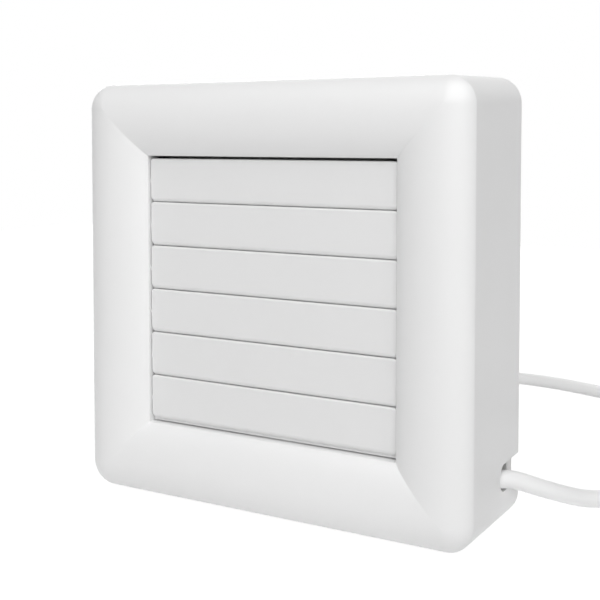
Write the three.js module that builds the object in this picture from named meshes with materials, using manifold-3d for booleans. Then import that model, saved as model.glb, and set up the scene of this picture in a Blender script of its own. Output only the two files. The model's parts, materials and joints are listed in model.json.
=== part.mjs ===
// A window exhaust fan for a 100 mm duct: a domed square front cover with six linked louvres,
// a fan housing with its duct spigot, a small motor and impeller, and a mains cord with its plug.
//
// Millimetres. X points right as seen from the front, Y points rearward and Z points up.
// The fan's own parts are placed from the fan axis: depth 0 is just behind the crest of the front
// face. The outer group then lifts the whole fan so that it stands on Z = 0, centred in X and Y.

import * as THREE from "three";
import { mergeVertices } from "three/addons/utils/BufferGeometryUtils.js";
import Module from "manifold-3d";

const wasm = await Module();
wasm.setup();

const { PI, abs, ceil, cos, floor, hypot, max, min, sin, sqrt, tan } = Math;
const DEGREE = PI / 180;

// ---------------------------------------------------------------------------------------------
// Driving dimensions
// ---------------------------------------------------------------------------------------------

// Clearances
const FIT_GAP = 0.15; // round a fixed piece in its seat
const SEAT_GAP = 0.3; // between pieces that meet face to face
const PIN_GAP = 0.15; // round a turning pin, on the radius
const LINK_GAP = 0.3; // round the linkage's pins, on the radius

// Front cover
const PANEL_SIZE = 172; // outer width and height at the front edge
const EDGE_DEPTH = 2; // where the side walls meet the domed face
const REAR_DEPTH = 52; // the face that stands against the wall or pane
const WALL_DRAFT = 1.8 * DEGREE; // the side walls widen to the rear
const CORNER_RADIUS = 10.5;
const LEAST_CORNER = 0.4;
const COVER_WALL = 2.3;
const COVER_SKIN = 2.4; // the domed face's thickness, measured rearward
const CREST_DEPTH = -4.3;
const CREST_INSET = 13; // from the outer edge in to the crest of the dome
const FACE_BAND = 29.9; // from the outer edge in to the opening
const OPENING_EDGE_DEPTH = 1.5;
const OUTER_FULLNESS = 0.241; // 0 is a quarter ellipse, towards 1 is a shallow bow
const INNER_FULLNESS = 0.5225;
const RIM_WALL = 2; // the square rim that runs back from the opening
const RIM_DEPTH = 9;

// Cord notch in the right side wall
const NOTCH_HEIGHT = 10.7;
const NOTCH_RISE = 19.35; // above the panel's bottom edge
const NOTCH_LENGTH = 22; // from its round front end to the rear edge
const HOUSING_NOTCH_MARGIN = 1;

// Snap catches between cover and housing
const CATCH_WIDTH = 14;
const CATCH_LENGTH = 2;
const CATCH_HEIGHT = 1.2;
const CATCH_SETBACK = 15; // ahead of the rear face
const CATCH_SPACING = 90;

// Louvres
const SLAT_COUNT = 6;
const SLAT_GAP = 0.7;
const SLAT_THICKNESS = 1.6;
const SLAT_FACE_DEPTH = 2.8;
const SLAT_END_GAP = 0.4;
const TOP_GAP = 1.1;
const SILL_GAP = 0.5;
const TONGUE_LENGTH = 1.8;
const TONGUE_THICKNESS = 1;
const TONGUE_ROOT = 2; // how far the tongue runs up behind the slat
const PIVOT_DROP = 9.8; // from a slat's top edge down to its pins
const PIN_RADIUS = 1.1;
const PIN_BOSS_RADIUS = 1.4;
const PIN_BOSS_LENGTH = 6;
const PIN_REACH = 1.8; // of the right-hand pin into the rim
const LOUVRE_TRAVEL = 80 * DEGREE;

// Linkage behind the left member of the cover
const CRANK_RADIUS = 8;
const CRANK_GAP = 1;
const CRANK_THICKNESS = 2;
const CRANK_HUB = 2.3;
const CRANK_PIN_RADIUS = 1;
const CRANK_PIN_OVERHANG = 0.8;
const CRANK_EYE = 2;
const BAR_GAP = 1;
const BAR_THICKNESS = 2;
const BAR_WIDTH = 5.6;
const LUG_RADIUS = 1.5;
const LUG_RISE = 61; // least height above the panel's bottom edge
const RETAINER_THICKNESS = 2;

// Louvre actuator
const PLUNGER_OFFSET = 7.4; // from the tie bar out to the plunger's line
const PLUNGER_DEPTH = 11.5;
const PLUNGER_RADIUS = 2;
const PLUNGER_LENGTH = 28; // below the fork
const FORK_WIDTH = 8;
const FORK_DEPTH = 8.4;
const FORK_HEIGHT = 8;
const FORK_ERROR = 0.17; // how far the turning lug strays from the plunger's straight travel
const GUIDE_RADIUS = 1.5;
const GUIDE_LENGTH = 28; // above the fork
const WAX_RADIUS = 6;
const WAX_NECK_RADIUS = 4;
const WAX_NECK_LENGTH = 8;
const WAX_LENGTH = 29.85;
const WAX_BORE_MARGIN = 2;
const FRAME_SHEET = 1.5;
const FRAME_WIDTH = 12;
const FRAME_SHELF = 2;
const FRAME_TOP_SHELF = 24; // above the fork's top
const FRAME_TOP_SCREW = 52; // above the lug
const FRAME_BOTTOM_SCREW = 5; // below the bottom shelf
const FRAME_END = 4; // of sheet past a screw
const FRAME_BOSS_RADIUS = 3.2;
const SPRING_RADIUS = 3.4;
const SPRING_WIRE = 0.45;
const SPRING_TURNS = 8;

// Fan housing
const HOUSING_GAP = 0.5; // to the cover's walls
const HOUSING_WALL = 2;
const HOUSING_RIM_LENGTH = 22; // to the rear face
const PLATE_THICKNESS = 2.5;
const TUNNEL_BORE = 47; // radius
const SPIGOT_LENGTH = 40; // behind the rear face
const BAFFLE_LEAD = 4.3; // from the baffle back to the impeller's hub
const BAFFLE_THICKNESS = 2;
const BAFFLE_INSET = 0.1; // in from the rim's outside
const BAFFLE_LIP = 3.5; // from the bellmouth out to the baffle's edge
const BELL_LENGTH = 8;
const FIXING_HOLE_RADIUS = 2.5;
const FIXING_INSET = 12; // in from the panel's edge
const FIXING_Z = 40;

// Motor
const CUP_RADIUS = 28;
const CUP_LEAD = 10; // from the motor cup's front back to the rear face
const CUP_LENGTH = 28;
const STRUT_WIDTH = 5;
const STRUT_SETBACK = 4; // behind the cup's front
const STRUT_LENGTH = 14;
const CABLE_STRUT_WIDTH = 10;
const CHANNEL_WIDTH = 6;
const CHANNEL_SETBACK = 3.6; // behind the cup's front
const CHANNEL_DEPTH = 3.2;
const CUP_FLOOR = 2.5;
const BEARING_BOSS_RADIUS = 8;
const BEARING_RADIUS = 5.5;
const BEARING_LENGTH = 5.6;
const BEARING_OVERHANG = 1.2; // of the front bearing, ahead of the cup
const SHAFT_RADIUS = 2.5;
const SHAFT_NOSE = 1.8; // ahead of the impeller's hub
const SHAFT_TAIL = 1.85; // behind the motor cap
const SHAFT_GAP = 0.12;
const STATOR_SETBACK = 9; // behind the cup's front
const STATOR_LENGTH = 14;
const STATOR_BORE = 13;
const STATOR_SLOTS = 12;
const SLOT_WIDTH = 3;
const SLOT_INNER = 15;
const SLOT_OUTER = 21;
const WINDING_INNER = 14.5;
const WINDING_OUTER = 23;
const WINDING_OVERHANG = 4.4;
const AIR_GAP = 0.6;
const CAP_THICKNESS = 2.5;
const LUG_CIRCLE = 30.2;
const CAP_LUG_RADIUS = 3;
const CAP_LUG_LENGTH = 12;

// Impeller
const HUB_RADIUS = 22;
const HUB_LENGTH = 16.7;
const HUB_CLEARANCE = 4; // from the hub back to the motor cup
const HUB_WALL = 2;
const HUB_BOSS_RADIUS = 6;
const BLADE_COUNT = 5;
const BLADE_THICKNESS = 1.8;
const TIP_GAP = 2;
const BLADE_SETBACK = 2.2; // behind the hub's front
const BLADE_MARGIN = 1.5; // ahead of the hub's rear
const ROOT_SPAN = 46 * DEGREE; // the arc that a blade covers at the hub, and at its tip
const TIP_SPAN = 58 * DEGREE;
const CLIP_RADIUS = 5;
const CLIP_THICKNESS = 1;

// Cord clamp and terminal block, in the lower strip of the housing
const CLAMP_INSET = 22; // in from the panel's edge
const CLAMP_WIDTH = 10;
const CLAMP_SPAN = 23;
const CLAMP_SEAT = 1.8; // from the cord's axis back to the pedestal
const CLAMP_LIP = 1.7; // from the cord's axis forward to the bar
const CLAMP_BAR = 4.9; // the bar's thickness
const CLAMP_SCREW_SPACING = 16;
const BLOCK_WIDTH = 18;
const BLOCK_GAP = 12; // to the cord clamp
const BLOCK_RISE = 10; // above the panel's bottom edge
const BLOCK_LEAD = 31; // from its front back to the rear face
const BLOCK_THICKNESS = 12.85;
const BLOCK_PEDESTAL_INSET = 2;
const POLE_SPACING = 7.6;
const TERMINAL_SPACING = 8;
const MOTOR_LEAD_SETBACK = 8.4; // behind the block's front
const ACTUATOR_LEAD_SETBACK = 4;
const LEAD_STUB = 6; // straight out of the block
const LEAD_TURN = 6.2; // from the duct tunnel, where the motor's leads turn up to it
const LEAD_BEND = 22; // from the block, where the actuator's leads reach the bottom strip
const LEAD_SAG = 2; // above the block's bottom
const LEAD_ROOM = 3.1; // from the actuator to the axis of its leads
const LEAD_LIFT = 6; // above the actuator's bottom shelf, where they end

// Screws: shank radius, head radius, head height
const SMALL_SCREW = { shank: 1.1, head: 2, height: 1.4 };
const LARGE_SCREW = { shank: 1.4, head: 2.6, height: 1.8 };
const SCREW_GRIP = 8; // how far a shank reaches into its boss
const PILOT_MARGIN = 1.5;
const RECESS_WIDTH = 0.7;
const RECESS_DEPTH = 0.8;

// Mains cord
const CORD_RADIUS = 3.5;
const CORD_RISE = 18; // above the panel's bottom edge, where it passes the notch
const CORD_LEAD = 24.9; // from its axis in the clamp back to the rear face
const LEAD_RADIUS = 1.1;
const LEAD_OFFSET = 1.7;
const FLOOR_SLACK = 0.1;

// Coil of spare cord behind the fan
const COIL_CENTRE = [-55, 205];
const COIL_TURNS = 4.5;
const COIL_INNER = 28.5; // least radius of its centreline
const COIL_PITCH = 7.8; // between turns side by side
const COIL_LAYER = 7.6; // between the two layers
const COIL_TAIL = 33;

// Plug
const PLUG_THICKNESS = 22;
const PLUG_WIDTH = 35;
const PLUG_LENGTH = 30;
const RELIEF_LENGTH = 20;
const RELIEF_RADIUS = 6;
const PLUG_PIN_RADIUS = 2.4;
const PLUG_PIN_SPACING = 19;
const PLUG_PIN_LENGTH = 19;

// Facets
const CORNER_STEPS = 5;
const FACE_STEPS = 7;
const TUNNEL_SIDES = 40;
const ROUND_SIDES = 24;
const SMALL_SIDES = 12;
const SCREW_SIDES = 10;
const CORD_SIDES = 10;
const LEAD_SIDES = 5;
const LOOP_STEPS = 24;
const LOOP_SIDES = 6;

// ---------------------------------------------------------------------------------------------
// Sizes worked out from the driving dimensions
// ---------------------------------------------------------------------------------------------

const outerHalf = (depth) => PANEL_SIZE / 2 + (depth - EDGE_DEPTH) * tan(WALL_DRAFT);
const AXIS_HEIGHT = outerHalf(REAR_DEPTH);
const SPIGOT_END = REAR_DEPTH + SPIGOT_LENGTH;
const MIDDLE_DEPTH = (CREST_DEPTH + SPIGOT_END) / 2;
const FLOOR = -AXIS_HEIGHT;
const OPENING_SIZE = PANEL_SIZE - 2 * FACE_BAND;
const OPENING_HALF = OPENING_SIZE / 2;
const RIM_OUTSIDE = OPENING_HALF + RIM_WALL;
const NOTCH_CENTRE = NOTCH_RISE - PANEL_SIZE / 2;
const NOTCH_DEPTH = REAR_DEPTH - NOTCH_LENGTH;
const CATCH_DEPTH = REAR_DEPTH - CATCH_SETBACK;

const SLAT_PITCH =
  (OPENING_SIZE - TOP_GAP - SILL_GAP - TONGUE_LENGTH + SLAT_GAP) / SLAT_COUNT;
const SLAT_HEIGHT = SLAT_PITCH - SLAT_GAP;
const SLAT_LENGTH = OPENING_SIZE - 2 * SLAT_END_GAP;
const PIVOT_DEPTH = SLAT_FACE_DEPTH + SLAT_THICKNESS;
const pivotHeight = (k) => OPENING_HALF - TOP_GAP - PIVOT_DROP - k * SLAT_PITCH;

const CRANK_X = -(RIM_OUTSIDE + CRANK_GAP);
const BAR_X = CRANK_X - CRANK_THICKNESS - BAR_GAP;
const crankAt = (turn) => ({
  depth: PIVOT_DEPTH + CRANK_RADIUS * cos(turn - LOUVRE_TRAVEL / 2),
  rise: CRANK_RADIUS * sin(turn - LOUVRE_TRAVEL / 2),
});
const CRANK_REST = crankAt(0);
const CRANK_BULGE = crankAt(LOUVRE_TRAVEL / 2).depth - CRANK_REST.depth;
const PLUNGER_X = BAR_X - BAR_THICKNESS - PLUNGER_OFFSET;
const PLUNGER_TRAVEL = 2 * CRANK_RADIUS * sin(LOUVRE_TRAVEL / 2);
const TOP_PIN = pivotHeight(0) + CRANK_REST.rise;
const PINS_ABOVE_LUG = floor((TOP_PIN - LUG_RISE + PANEL_SIZE / 2) / SLAT_PITCH + 0.5);
const LUG_HEIGHT = TOP_PIN - (PINS_ABOVE_LUG - 0.5) * SLAT_PITCH; // midway between two pins
const FORK_TOP = LUG_HEIGHT + FORK_HEIGHT / 2;
const FORK_BOTTOM = LUG_HEIGHT - FORK_HEIGHT / 2;
const WAX_TOP = FORK_BOTTOM - PLUNGER_TRAVEL - 1.7;
const WAX_BOTTOM = WAX_TOP - WAX_LENGTH;
const BOTTOM_SHELF = WAX_BOTTOM - FIT_GAP;
const TOP_SHELF = FORK_TOP + FRAME_TOP_SHELF;
const FRAME_DEPTH = PLUNGER_DEPTH + WAX_RADIUS + SEAT_GAP;
const FRAME_SCREWS = [
  LUG_HEIGHT + FRAME_TOP_SCREW,
  BOTTOM_SHELF - FRAME_SHELF - FRAME_BOTTOM_SCREW,
];

const TUNNEL_OUTSIDE = TUNNEL_BORE + HOUSING_WALL;
const PLATE_DEPTH = REAR_DEPTH - PLATE_THICKNESS;
const housingHalf = (depth) => outerHalf(depth) - COVER_WALL - HOUSING_GAP;
const HOUSING_RIM_DEPTH = REAR_DEPTH - HOUSING_RIM_LENGTH;
const FIXING_X = PANEL_SIZE / 2 - FIXING_INSET;
const CUP_FRONT = REAR_DEPTH - CUP_LEAD;
const CUP_REAR = CUP_FRONT + CUP_LENGTH;
const CUP_BORE = CUP_RADIUS - HOUSING_WALL;
const STRUT_FRONT = CUP_FRONT + STRUT_SETBACK;
const STRUT_REAR = STRUT_FRONT + STRUT_LENGTH;
const CHANNEL_FRONT = CUP_FRONT + CHANNEL_SETBACK;
const CHANNEL_REAR = CHANNEL_FRONT + CHANNEL_DEPTH;
const STATOR_FRONT = CUP_FRONT + STATOR_SETBACK;
const STATOR_REAR = STATOR_FRONT + STATOR_LENGTH;
const STATOR_RADIUS = CUP_BORE - FIT_GAP;
const CAP_DEPTH = CUP_REAR + FIT_GAP;
const FRONT_BEARING_DEPTH = CUP_FRONT - BEARING_OVERHANG;
const REAR_BEARING_DEPTH = CAP_DEPTH + CAP_THICKNESS - BEARING_LENGTH;
const HUB_REAR = CUP_FRONT - HUB_CLEARANCE;
const HUB_FRONT = HUB_REAR - HUB_LENGTH;
const BLADE_FRONT = HUB_FRONT + BLADE_SETBACK;
const BLADE_REAR = HUB_REAR - BLADE_MARGIN;
const BLADE_TIP = TUNNEL_BORE - TIP_GAP;
const SHAFT_FRONT = HUB_FRONT - SHAFT_NOSE;
const SHAFT_REAR = CAP_DEPTH + CAP_THICKNESS + SHAFT_TAIL;
const BAFFLE_DEPTH = HUB_FRONT - BAFFLE_LEAD;
const BAFFLE_HALF = RIM_OUTSIDE - BAFFLE_INSET;
const BELL_FLARE = BAFFLE_HALF - BAFFLE_LIP - TUNNEL_BORE;
const STRUT_ANGLES = [-90, 30, 150].map((angle) => angle * DEGREE);

const CORD_HEIGHT = CORD_RISE - PANEL_SIZE / 2;
const CORD_DEPTH = REAR_DEPTH - CORD_LEAD;
const CLAMP_END = PANEL_SIZE / 2 - CLAMP_INSET;
const CLAMP_X = [CLAMP_END - CLAMP_WIDTH, CLAMP_END];
const CLAMP_PART = CORD_DEPTH + CLAMP_SEAT;
const CLAMP_BAR_REAR = CORD_DEPTH - CLAMP_LIP;
const CLAMP_BAR_FRONT = CLAMP_BAR_REAR - CLAMP_BAR;
const BLOCK_END = CLAMP_X[0] - BLOCK_GAP;
const BLOCK_X = [BLOCK_END - BLOCK_WIDTH, BLOCK_END];
const BLOCK_BOTTOM = BLOCK_RISE - PANEL_SIZE / 2;
const BLOCK_Z = [BLOCK_BOTTOM, BLOCK_BOTTOM + BLOCK_WIDTH];
const BLOCK_FRONT = REAR_DEPTH - BLOCK_LEAD;
const BLOCK_REAR = BLOCK_FRONT + BLOCK_THICKNESS;
const MOTOR_LEAD_DEPTH = BLOCK_FRONT + MOTOR_LEAD_SETBACK;
const ACTUATOR_LEAD_DEPTH = BLOCK_FRONT + ACTUATOR_LEAD_SETBACK;
const POLES = [-1, 1].map((side) => (BLOCK_Z[0] + BLOCK_Z[1]) / 2 + (side * POLE_SPACING) / 2);

const FLOOR_CORD = FLOOR + CORD_RADIUS + FLOOR_SLACK;
const COIL_OUTER = COIL_INNER + (COIL_PITCH * COIL_TURNS) / 2;

// ---------------------------------------------------------------------------------------------
// Shape helpers
// ---------------------------------------------------------------------------------------------

const vector = (x, y, z) => new THREE.Vector3(x, y, z);

// A closed geometry as a solid that can be joined and cut.
function solidOf(geometry) {
  const bare = geometry.clone();
  bare.deleteAttribute("normal");
  bare.deleteAttribute("uv");
  const merged = mergeVertices(bare, 1e-4);
  return new wasm.Manifold(
    new wasm.Mesh({
      numProp: 3,
      vertProperties: merged.attributes.position.array,
      triVerts: new Uint32Array(merged.index.array),
    }),
  );
}

function geometryOf(solid) {
  const mesh = solid.getMesh();
  return new THREE.BufferGeometry()
    .setAttribute("position", new THREE.BufferAttribute(mesh.vertProperties, 3))
    .setIndex(new THREE.BufferAttribute(mesh.triVerts, 1));
}

function join(...pieces) {
  return geometryOf(pieces.map(solidOf).reduce((whole, piece) => whole.add(piece)));
}

function cut(base, ...tools) {
  return geometryOf(tools.map(solidOf).reduce((rest, tool) => rest.subtract(tool), solidOf(base)));
}

// A box from its ranges along X, Y and Z.
function box([x0, x1], [y0, y1], [z0, z1]) {
  return new THREE.BoxGeometry(x1 - x0, y1 - y0, z1 - z0).translate(
    (x0 + x1) / 2,
    (y0 + y1) / 2,
    (z0 + z1) / 2,
  );
}

const centred = (middle, width) => [middle - width / 2, middle + width / 2];

function cylinderX(radius, [x0, x1], y, z, sides = SMALL_SIDES) {
  return new THREE.CylinderGeometry(radius, radius, x1 - x0, sides)
    .rotateZ(-PI / 2)
    .translate((x0 + x1) / 2, y, z);
}

function cylinderY(radius, [y0, y1], x, z, sides = SMALL_SIDES) {
  return new THREE.CylinderGeometry(radius, radius, y1 - y0, sides).translate(x, (y0 + y1) / 2, z);
}

function cylinderZ(radius, [z0, z1], x, y, sides = SMALL_SIDES) {
  return new THREE.CylinderGeometry(radius, radius, z1 - z0, sides)
    .rotateX(PI / 2)
    .translate(x, y, (z0 + z1) / 2);
}

// A turned solid about the Y axis from [radius, depth] pairs: its outside runs rearward.
// A profile that doesn't start on the axis is closed on itself.
function turned(profile, sides = ROUND_SIDES) {
  const points = profile.map(([radius, depth]) => new THREE.Vector2(radius, depth));
  if (points[0].x > 0) points.push(points[0].clone());
  return new THREE.LatheGeometry(points, sides);
}

// A shape in the (depth, height) plane, extruded along X.
function extrudedX(shape, [x0, x1], curveSegments = 4) {
  const basis = new THREE.Matrix4().makeBasis(vector(0, 1, 0), vector(0, 0, 1), vector(1, 0, 0));
  return new THREE.ExtrudeGeometry(shape, { depth: x1 - x0, bevelEnabled: false, curveSegments })
    .applyMatrix4(basis)
    .translate(x0, 0, 0);
}

// A shape in the (x, z) plane, extruded along Y.
function extrudedY(shape, [y0, y1], curveSegments = 6) {
  const basis = new THREE.Matrix4().makeBasis(vector(1, 0, 0), vector(0, 0, 1), vector(0, -1, 0));
  return new THREE.ExtrudeGeometry(shape, { depth: y1 - y0, bevelEnabled: false, curveSegments })
    .applyMatrix4(basis)
    .translate(0, y1, 0);
}

function roundedRectangle(halfWidth, halfHeight, radius) {
  const shape = new THREE.Shape();
  const [x, y] = [halfWidth - radius, halfHeight - radius];
  shape.absarc(x, y, radius, 0, PI / 2);
  shape.absarc(-x, y, radius, PI / 2, PI);
  shape.absarc(-x, -y, radius, PI, 1.5 * PI);
  shape.absarc(x, -y, radius, 1.5 * PI, 2 * PI);
  return shape;
}

function roundHole(x, y, radius) {
  const hole = new THREE.Path();
  hole.absarc(x, y, radius, 0, 2 * PI, true);
  return hole;
}

function polygon(radius, sides) {
  const corner = (k) =>
    new THREE.Vector2(radius * cos((2 * PI * k) / sides), radius * sin((2 * PI * k) / sides));
  return new THREE.Shape(Array.from({ length: sides }, (_, k) => corner(k)));
}

// A surface through rings of equally many points. A closed one joins its last ring to its first,
// and an open one is capped by zipping each end ring shut across its width.
function loft(rings, closed) {
  const count = rings[0].length;
  const index = [];
  const quad = (a, b, c, d) => index.push(a, b, c, b, d, c);
  const spans = closed ? rings.length : rings.length - 1;
  for (let r = 0; r < spans; r++) {
    const [near, far] = [r * count, ((r + 1) % rings.length) * count];
    for (let i = 0; i < count; i++) {
      const j = (i + 1) % count;
      quad(near + i, near + j, far + i, far + j);
    }
  }
  if (!closed) {
    const last = (rings.length - 1) * count;
    for (let i = 0; i < count / 2 - 1; i++) {
      const [p, q] = [count - 1 - i, count - 2 - i];
      quad(i, p, i + 1, q);
      quad(last + i, last + i + 1, last + p, last + q);
    }
  }
  return new THREE.BufferGeometry()
    .setAttribute("position", new THREE.Float32BufferAttribute(rings.flat().flatMap((p) => [...p]), 3))
    .setIndex(index);
}

// A round tube along a smooth curve through the points.
function cable(points, radius, sides) {
  const path = new THREE.CatmullRomCurve3(points, false, "centripetal");
  const steps = ceil(path.getLength() / (4 * radius));
  return new THREE.ExtrudeGeometry(polygon(radius, sides), { steps, extrudePath: path });
}

// A round tube along points whose sections stand square to the path, level with the Z axis.
function woundTube(points, radius, sides) {
  const rings = points.map((point, k) => {
    const before = points[max(k - 1, 0)];
    const after = points[min(k + 1, points.length - 1)];
    const along = after.clone().sub(before).normalize();
    const side = vector(0, 0, 1).cross(along).normalize();
    const up = along.clone().cross(side);
    return Array.from({ length: sides }, (_, i) => {
      const angle = (2 * PI * i) / sides;
      return point
        .clone()
        .addScaledVector(side, radius * cos(angle))
        .addScaledVector(up, radius * sin(angle));
    });
  });
  return loft(rings, false);
}

// The least free gap between points of a winding that lie more than half a turn apart.
function leastGap(points, radius, pointsPerTurn) {
  let least = Infinity;
  points.forEach((a, i) => {
    for (let j = i + pointsPerTurn / 2; j < points.length; j++) {
      least = min(least, a.distanceTo(points[j]) - 2 * radius);
    }
  });
  return least;
}

const group = new THREE.Group();

function add(name, geometry, material) {
  const mesh = new THREE.Mesh(geometry, material);
  mesh.name = name;
  group.add(mesh);
  return mesh;
}

// ---------------------------------------------------------------------------------------------
// Materials
// ---------------------------------------------------------------------------------------------

const finish = (color, roughness, metalness = 0) =>
  new THREE.MeshStandardMaterial({ color, roughness, metalness });

const COVER_WHITE = finish(0xf1f1f1, 0.25);
const SLAT_WHITE = finish(0xeeeeee, 0.35);
const HOUSING_WHITE = finish(0xe9e9e7, 0.4);
const LINK_WHITE = finish(0xdededc, 0.45);
const IMPELLER_GREY = finish(0xd5d8da, 0.4);
const CORD_WHITE = finish(0xf0f0f0, 0.5);
const ZINC = finish(0xb9bcc0, 0.35, 0.9);
const STEEL = finish(0x9ea2a6, 0.3, 1);
const LAMINATION = finish(0x6d7073, 0.5, 0.8);
const COPPER = finish(0xb4683a, 0.35, 0.9);
const BRONZE = finish(0x9c7a45, 0.4, 0.9);
const BRASS = finish(0xc2a35a, 0.3, 0.9);
const BROWN_LEAD = finish(0x6b4226, 0.5);
const BLUE_LEAD = finish(0x2f5fa8, 0.5);
const RED_LEAD = finish(0xa8322c, 0.5);

// ---------------------------------------------------------------------------------------------
// Front cover
// ---------------------------------------------------------------------------------------------

// How far a bowed face has fallen at a share of its reach from the crest.
function bow(share, fullness) {
  return (1 - sqrt(1 - share ** 2 * (1 - fullness ** 2))) / (1 - fullness);
}

// Depth of the domed face at a distance in from the outer edge.
function faceDepth(inset) {
  if (inset < CREST_INSET) {
    const share = (CREST_INSET - inset) / CREST_INSET;
    return CREST_DEPTH + (EDGE_DEPTH - CREST_DEPTH) * bow(share, OUTER_FULLNESS);
  }
  const share = (inset - CREST_INSET) / (FACE_BAND - CREST_INSET);
  return CREST_DEPTH + (OPENING_EDGE_DEPTH - CREST_DEPTH) * bow(share, INNER_FULLNESS);
}

// Insets from the outer edge over the crest to the opening, closer together where the face turns.
function faceInsets() {
  const outer = (k) => CREST_INSET * (1 - cos(((k / FACE_STEPS) * PI) / 2));
  const inner = (k) => CREST_INSET + (k / FACE_STEPS) * (FACE_BAND - CREST_INSET);
  return [
    ...Array.from({ length: FACE_STEPS }, (_, k) => outer(k)),
    ...Array.from({ length: FACE_STEPS + 1 }, (_, k) => inner(k)),
  ];
}

function squareRing(half, radius, depth) {
  const ring = [];
  for (let corner = 0; corner < 4; corner++) {
    const x = (half - radius) * (corner === 0 || corner === 3 ? 1 : -1);
    const z = (half - radius) * (corner < 2 ? 1 : -1);
    for (let step = 0; step <= CORNER_STEPS; step++) {
      const angle = ((corner + step / CORNER_STEPS) * PI) / 2;
      ring.push(vector(x + radius * cos(angle), depth, z + radius * sin(angle)));
    }
  }
  return ring;
}

function coverShell() {
  const cornerAt = (inset) => max(CORNER_RADIUS - inset, LEAST_CORNER);
  const faceRing = (inset, back) =>
    squareRing(PANEL_SIZE / 2 - inset, cornerAt(inset), faceDepth(inset) + back);
  const insets = faceInsets();
  const reachesBack = (inset) => inset > COVER_WALL + 1 && inset < FACE_BAND - RIM_WALL - 1;
  const hidden = insets.filter((inset, k) => k % 2 === 0 && reachesBack(inset));
  const behind = [COVER_WALL, ...hidden, FACE_BAND - RIM_WALL].reverse();
  return loft(
    [
      squareRing(outerHalf(REAR_DEPTH), CORNER_RADIUS, REAR_DEPTH),
      ...insets.map((inset) => faceRing(inset, 0)),
      squareRing(OPENING_HALF, LEAST_CORNER, RIM_DEPTH),
      squareRing(RIM_OUTSIDE, LEAST_CORNER, RIM_DEPTH),
      ...behind.map((inset) => faceRing(inset, COVER_SKIN)),
      squareRing(outerHalf(REAR_DEPTH) - COVER_WALL, cornerAt(COVER_WALL), REAR_DEPTH),
    ],
    true,
  );
}

// A screw boss that stands back from the domed face.
function coverBoss(x, z, rear) {
  const inset = PANEL_SIZE / 2 - max(abs(x), abs(z));
  return cylinderY(FRAME_BOSS_RADIUS, [faceDepth(inset) + COVER_SKIN / 2, rear], x, z);
}

function catchRibs(grow) {
  return [-1, 1].flatMap((side) =>
    [-1, 1].map((wall) => {
      const inner = outerHalf(CATCH_DEPTH) - COVER_WALL;
      const reach = [inner - CATCH_HEIGHT - 2 * grow, inner + COVER_WALL / 2];
      return box(
        centred((side * CATCH_SPACING) / 2, CATCH_WIDTH + 2 * grow),
        centred(CATCH_DEPTH, CATCH_LENGTH + 2 * grow),
        wall > 0 ? reach : reach.map((z) => -z).reverse(),
      );
    }),
  );
}

// The notch that the cord leaves by: open to the rear, with a round front end.
function notch(x, height, front) {
  return join(
    box(x, [front + height / 2, REAR_DEPTH + 1], centred(NOTCH_CENTRE, height)),
    cylinderX(height / 2, x, front + height / 2, NOTCH_CENTRE, ROUND_SIDES),
  );
}

function frontCover() {
  const seat = PIN_RADIUS + PIN_GAP;
  const leftRim = [-RIM_OUTSIDE - 0.5, -OPENING_HALF + 0.5];
  const rightRim = [OPENING_HALF - 0.5, RIM_OUTSIDE + 0.5];
  const pivotCuts = Array.from({ length: SLAT_COUNT }, (_, k) => [
    cylinderX(seat, leftRim, PIVOT_DEPTH, pivotHeight(k)),
    box(leftRim, [PIVOT_DEPTH, RIM_DEPTH + 1], centred(pivotHeight(k), 2 * seat * cos(PI / 12))),
    cylinderX(seat, rightRim, PIVOT_DEPTH, pivotHeight(k)),
  ]).flat();
  const pilots = FRAME_SCREWS.map((z) => {
    const bottom = FRAME_DEPTH - SCREW_GRIP - PILOT_MARGIN;
    return cylinderY(SMALL_SCREW.shank + FIT_GAP, [bottom, FRAME_DEPTH + 1], PLUNGER_X, z);
  });
  const whole = join(
    coverShell(),
    ...FRAME_SCREWS.map((z) => coverBoss(PLUNGER_X, z, FRAME_DEPTH - FIT_GAP)),
    ...catchRibs(0),
  );
  const wall = [outerHalf(0) - COVER_WALL - 2, outerHalf(REAR_DEPTH) + 1];
  return cut(whole, ...pivotCuts, ...pilots, notch(wall, NOTCH_HEIGHT, NOTCH_DEPTH));
}

// ---------------------------------------------------------------------------------------------
// Louvres and their linkage. A louvre's own origin is on its pins' axis.
// ---------------------------------------------------------------------------------------------

function slatShape() {
  const [front, back] = [-SLAT_THICKNESS, 0];
  const round = SLAT_THICKNESS / 2;
  const faceBottom = PIVOT_DROP - SLAT_HEIGHT;
  const tongueFront = SEAT_GAP;
  const tongueBack = tongueFront + TONGUE_THICKNESS;
  const shape = new THREE.Shape();
  shape.moveTo(front, faceBottom);
  shape.absarc(front + round, PIVOT_DROP - round, round, PI, 0, true);
  shape.lineTo(back, faceBottom + TONGUE_ROOT + tongueBack);
  shape.lineTo(tongueBack, faceBottom + TONGUE_ROOT);
  shape.lineTo(tongueBack, faceBottom - TONGUE_LENGTH);
  shape.lineTo(tongueFront, faceBottom - TONGUE_LENGTH);
  shape.lineTo(tongueFront, faceBottom);
  return shape;
}

// A tapered link from one round eye to another, along +Y from the origin.
function linkShape() {
  const shape = new THREE.Shape();
  shape.absarc(0, 0, CRANK_HUB, PI / 2, 1.5 * PI);
  shape.absarc(CRANK_RADIUS, 0, CRANK_EYE, -PI / 2, PI / 2);
  return shape;
}

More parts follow.
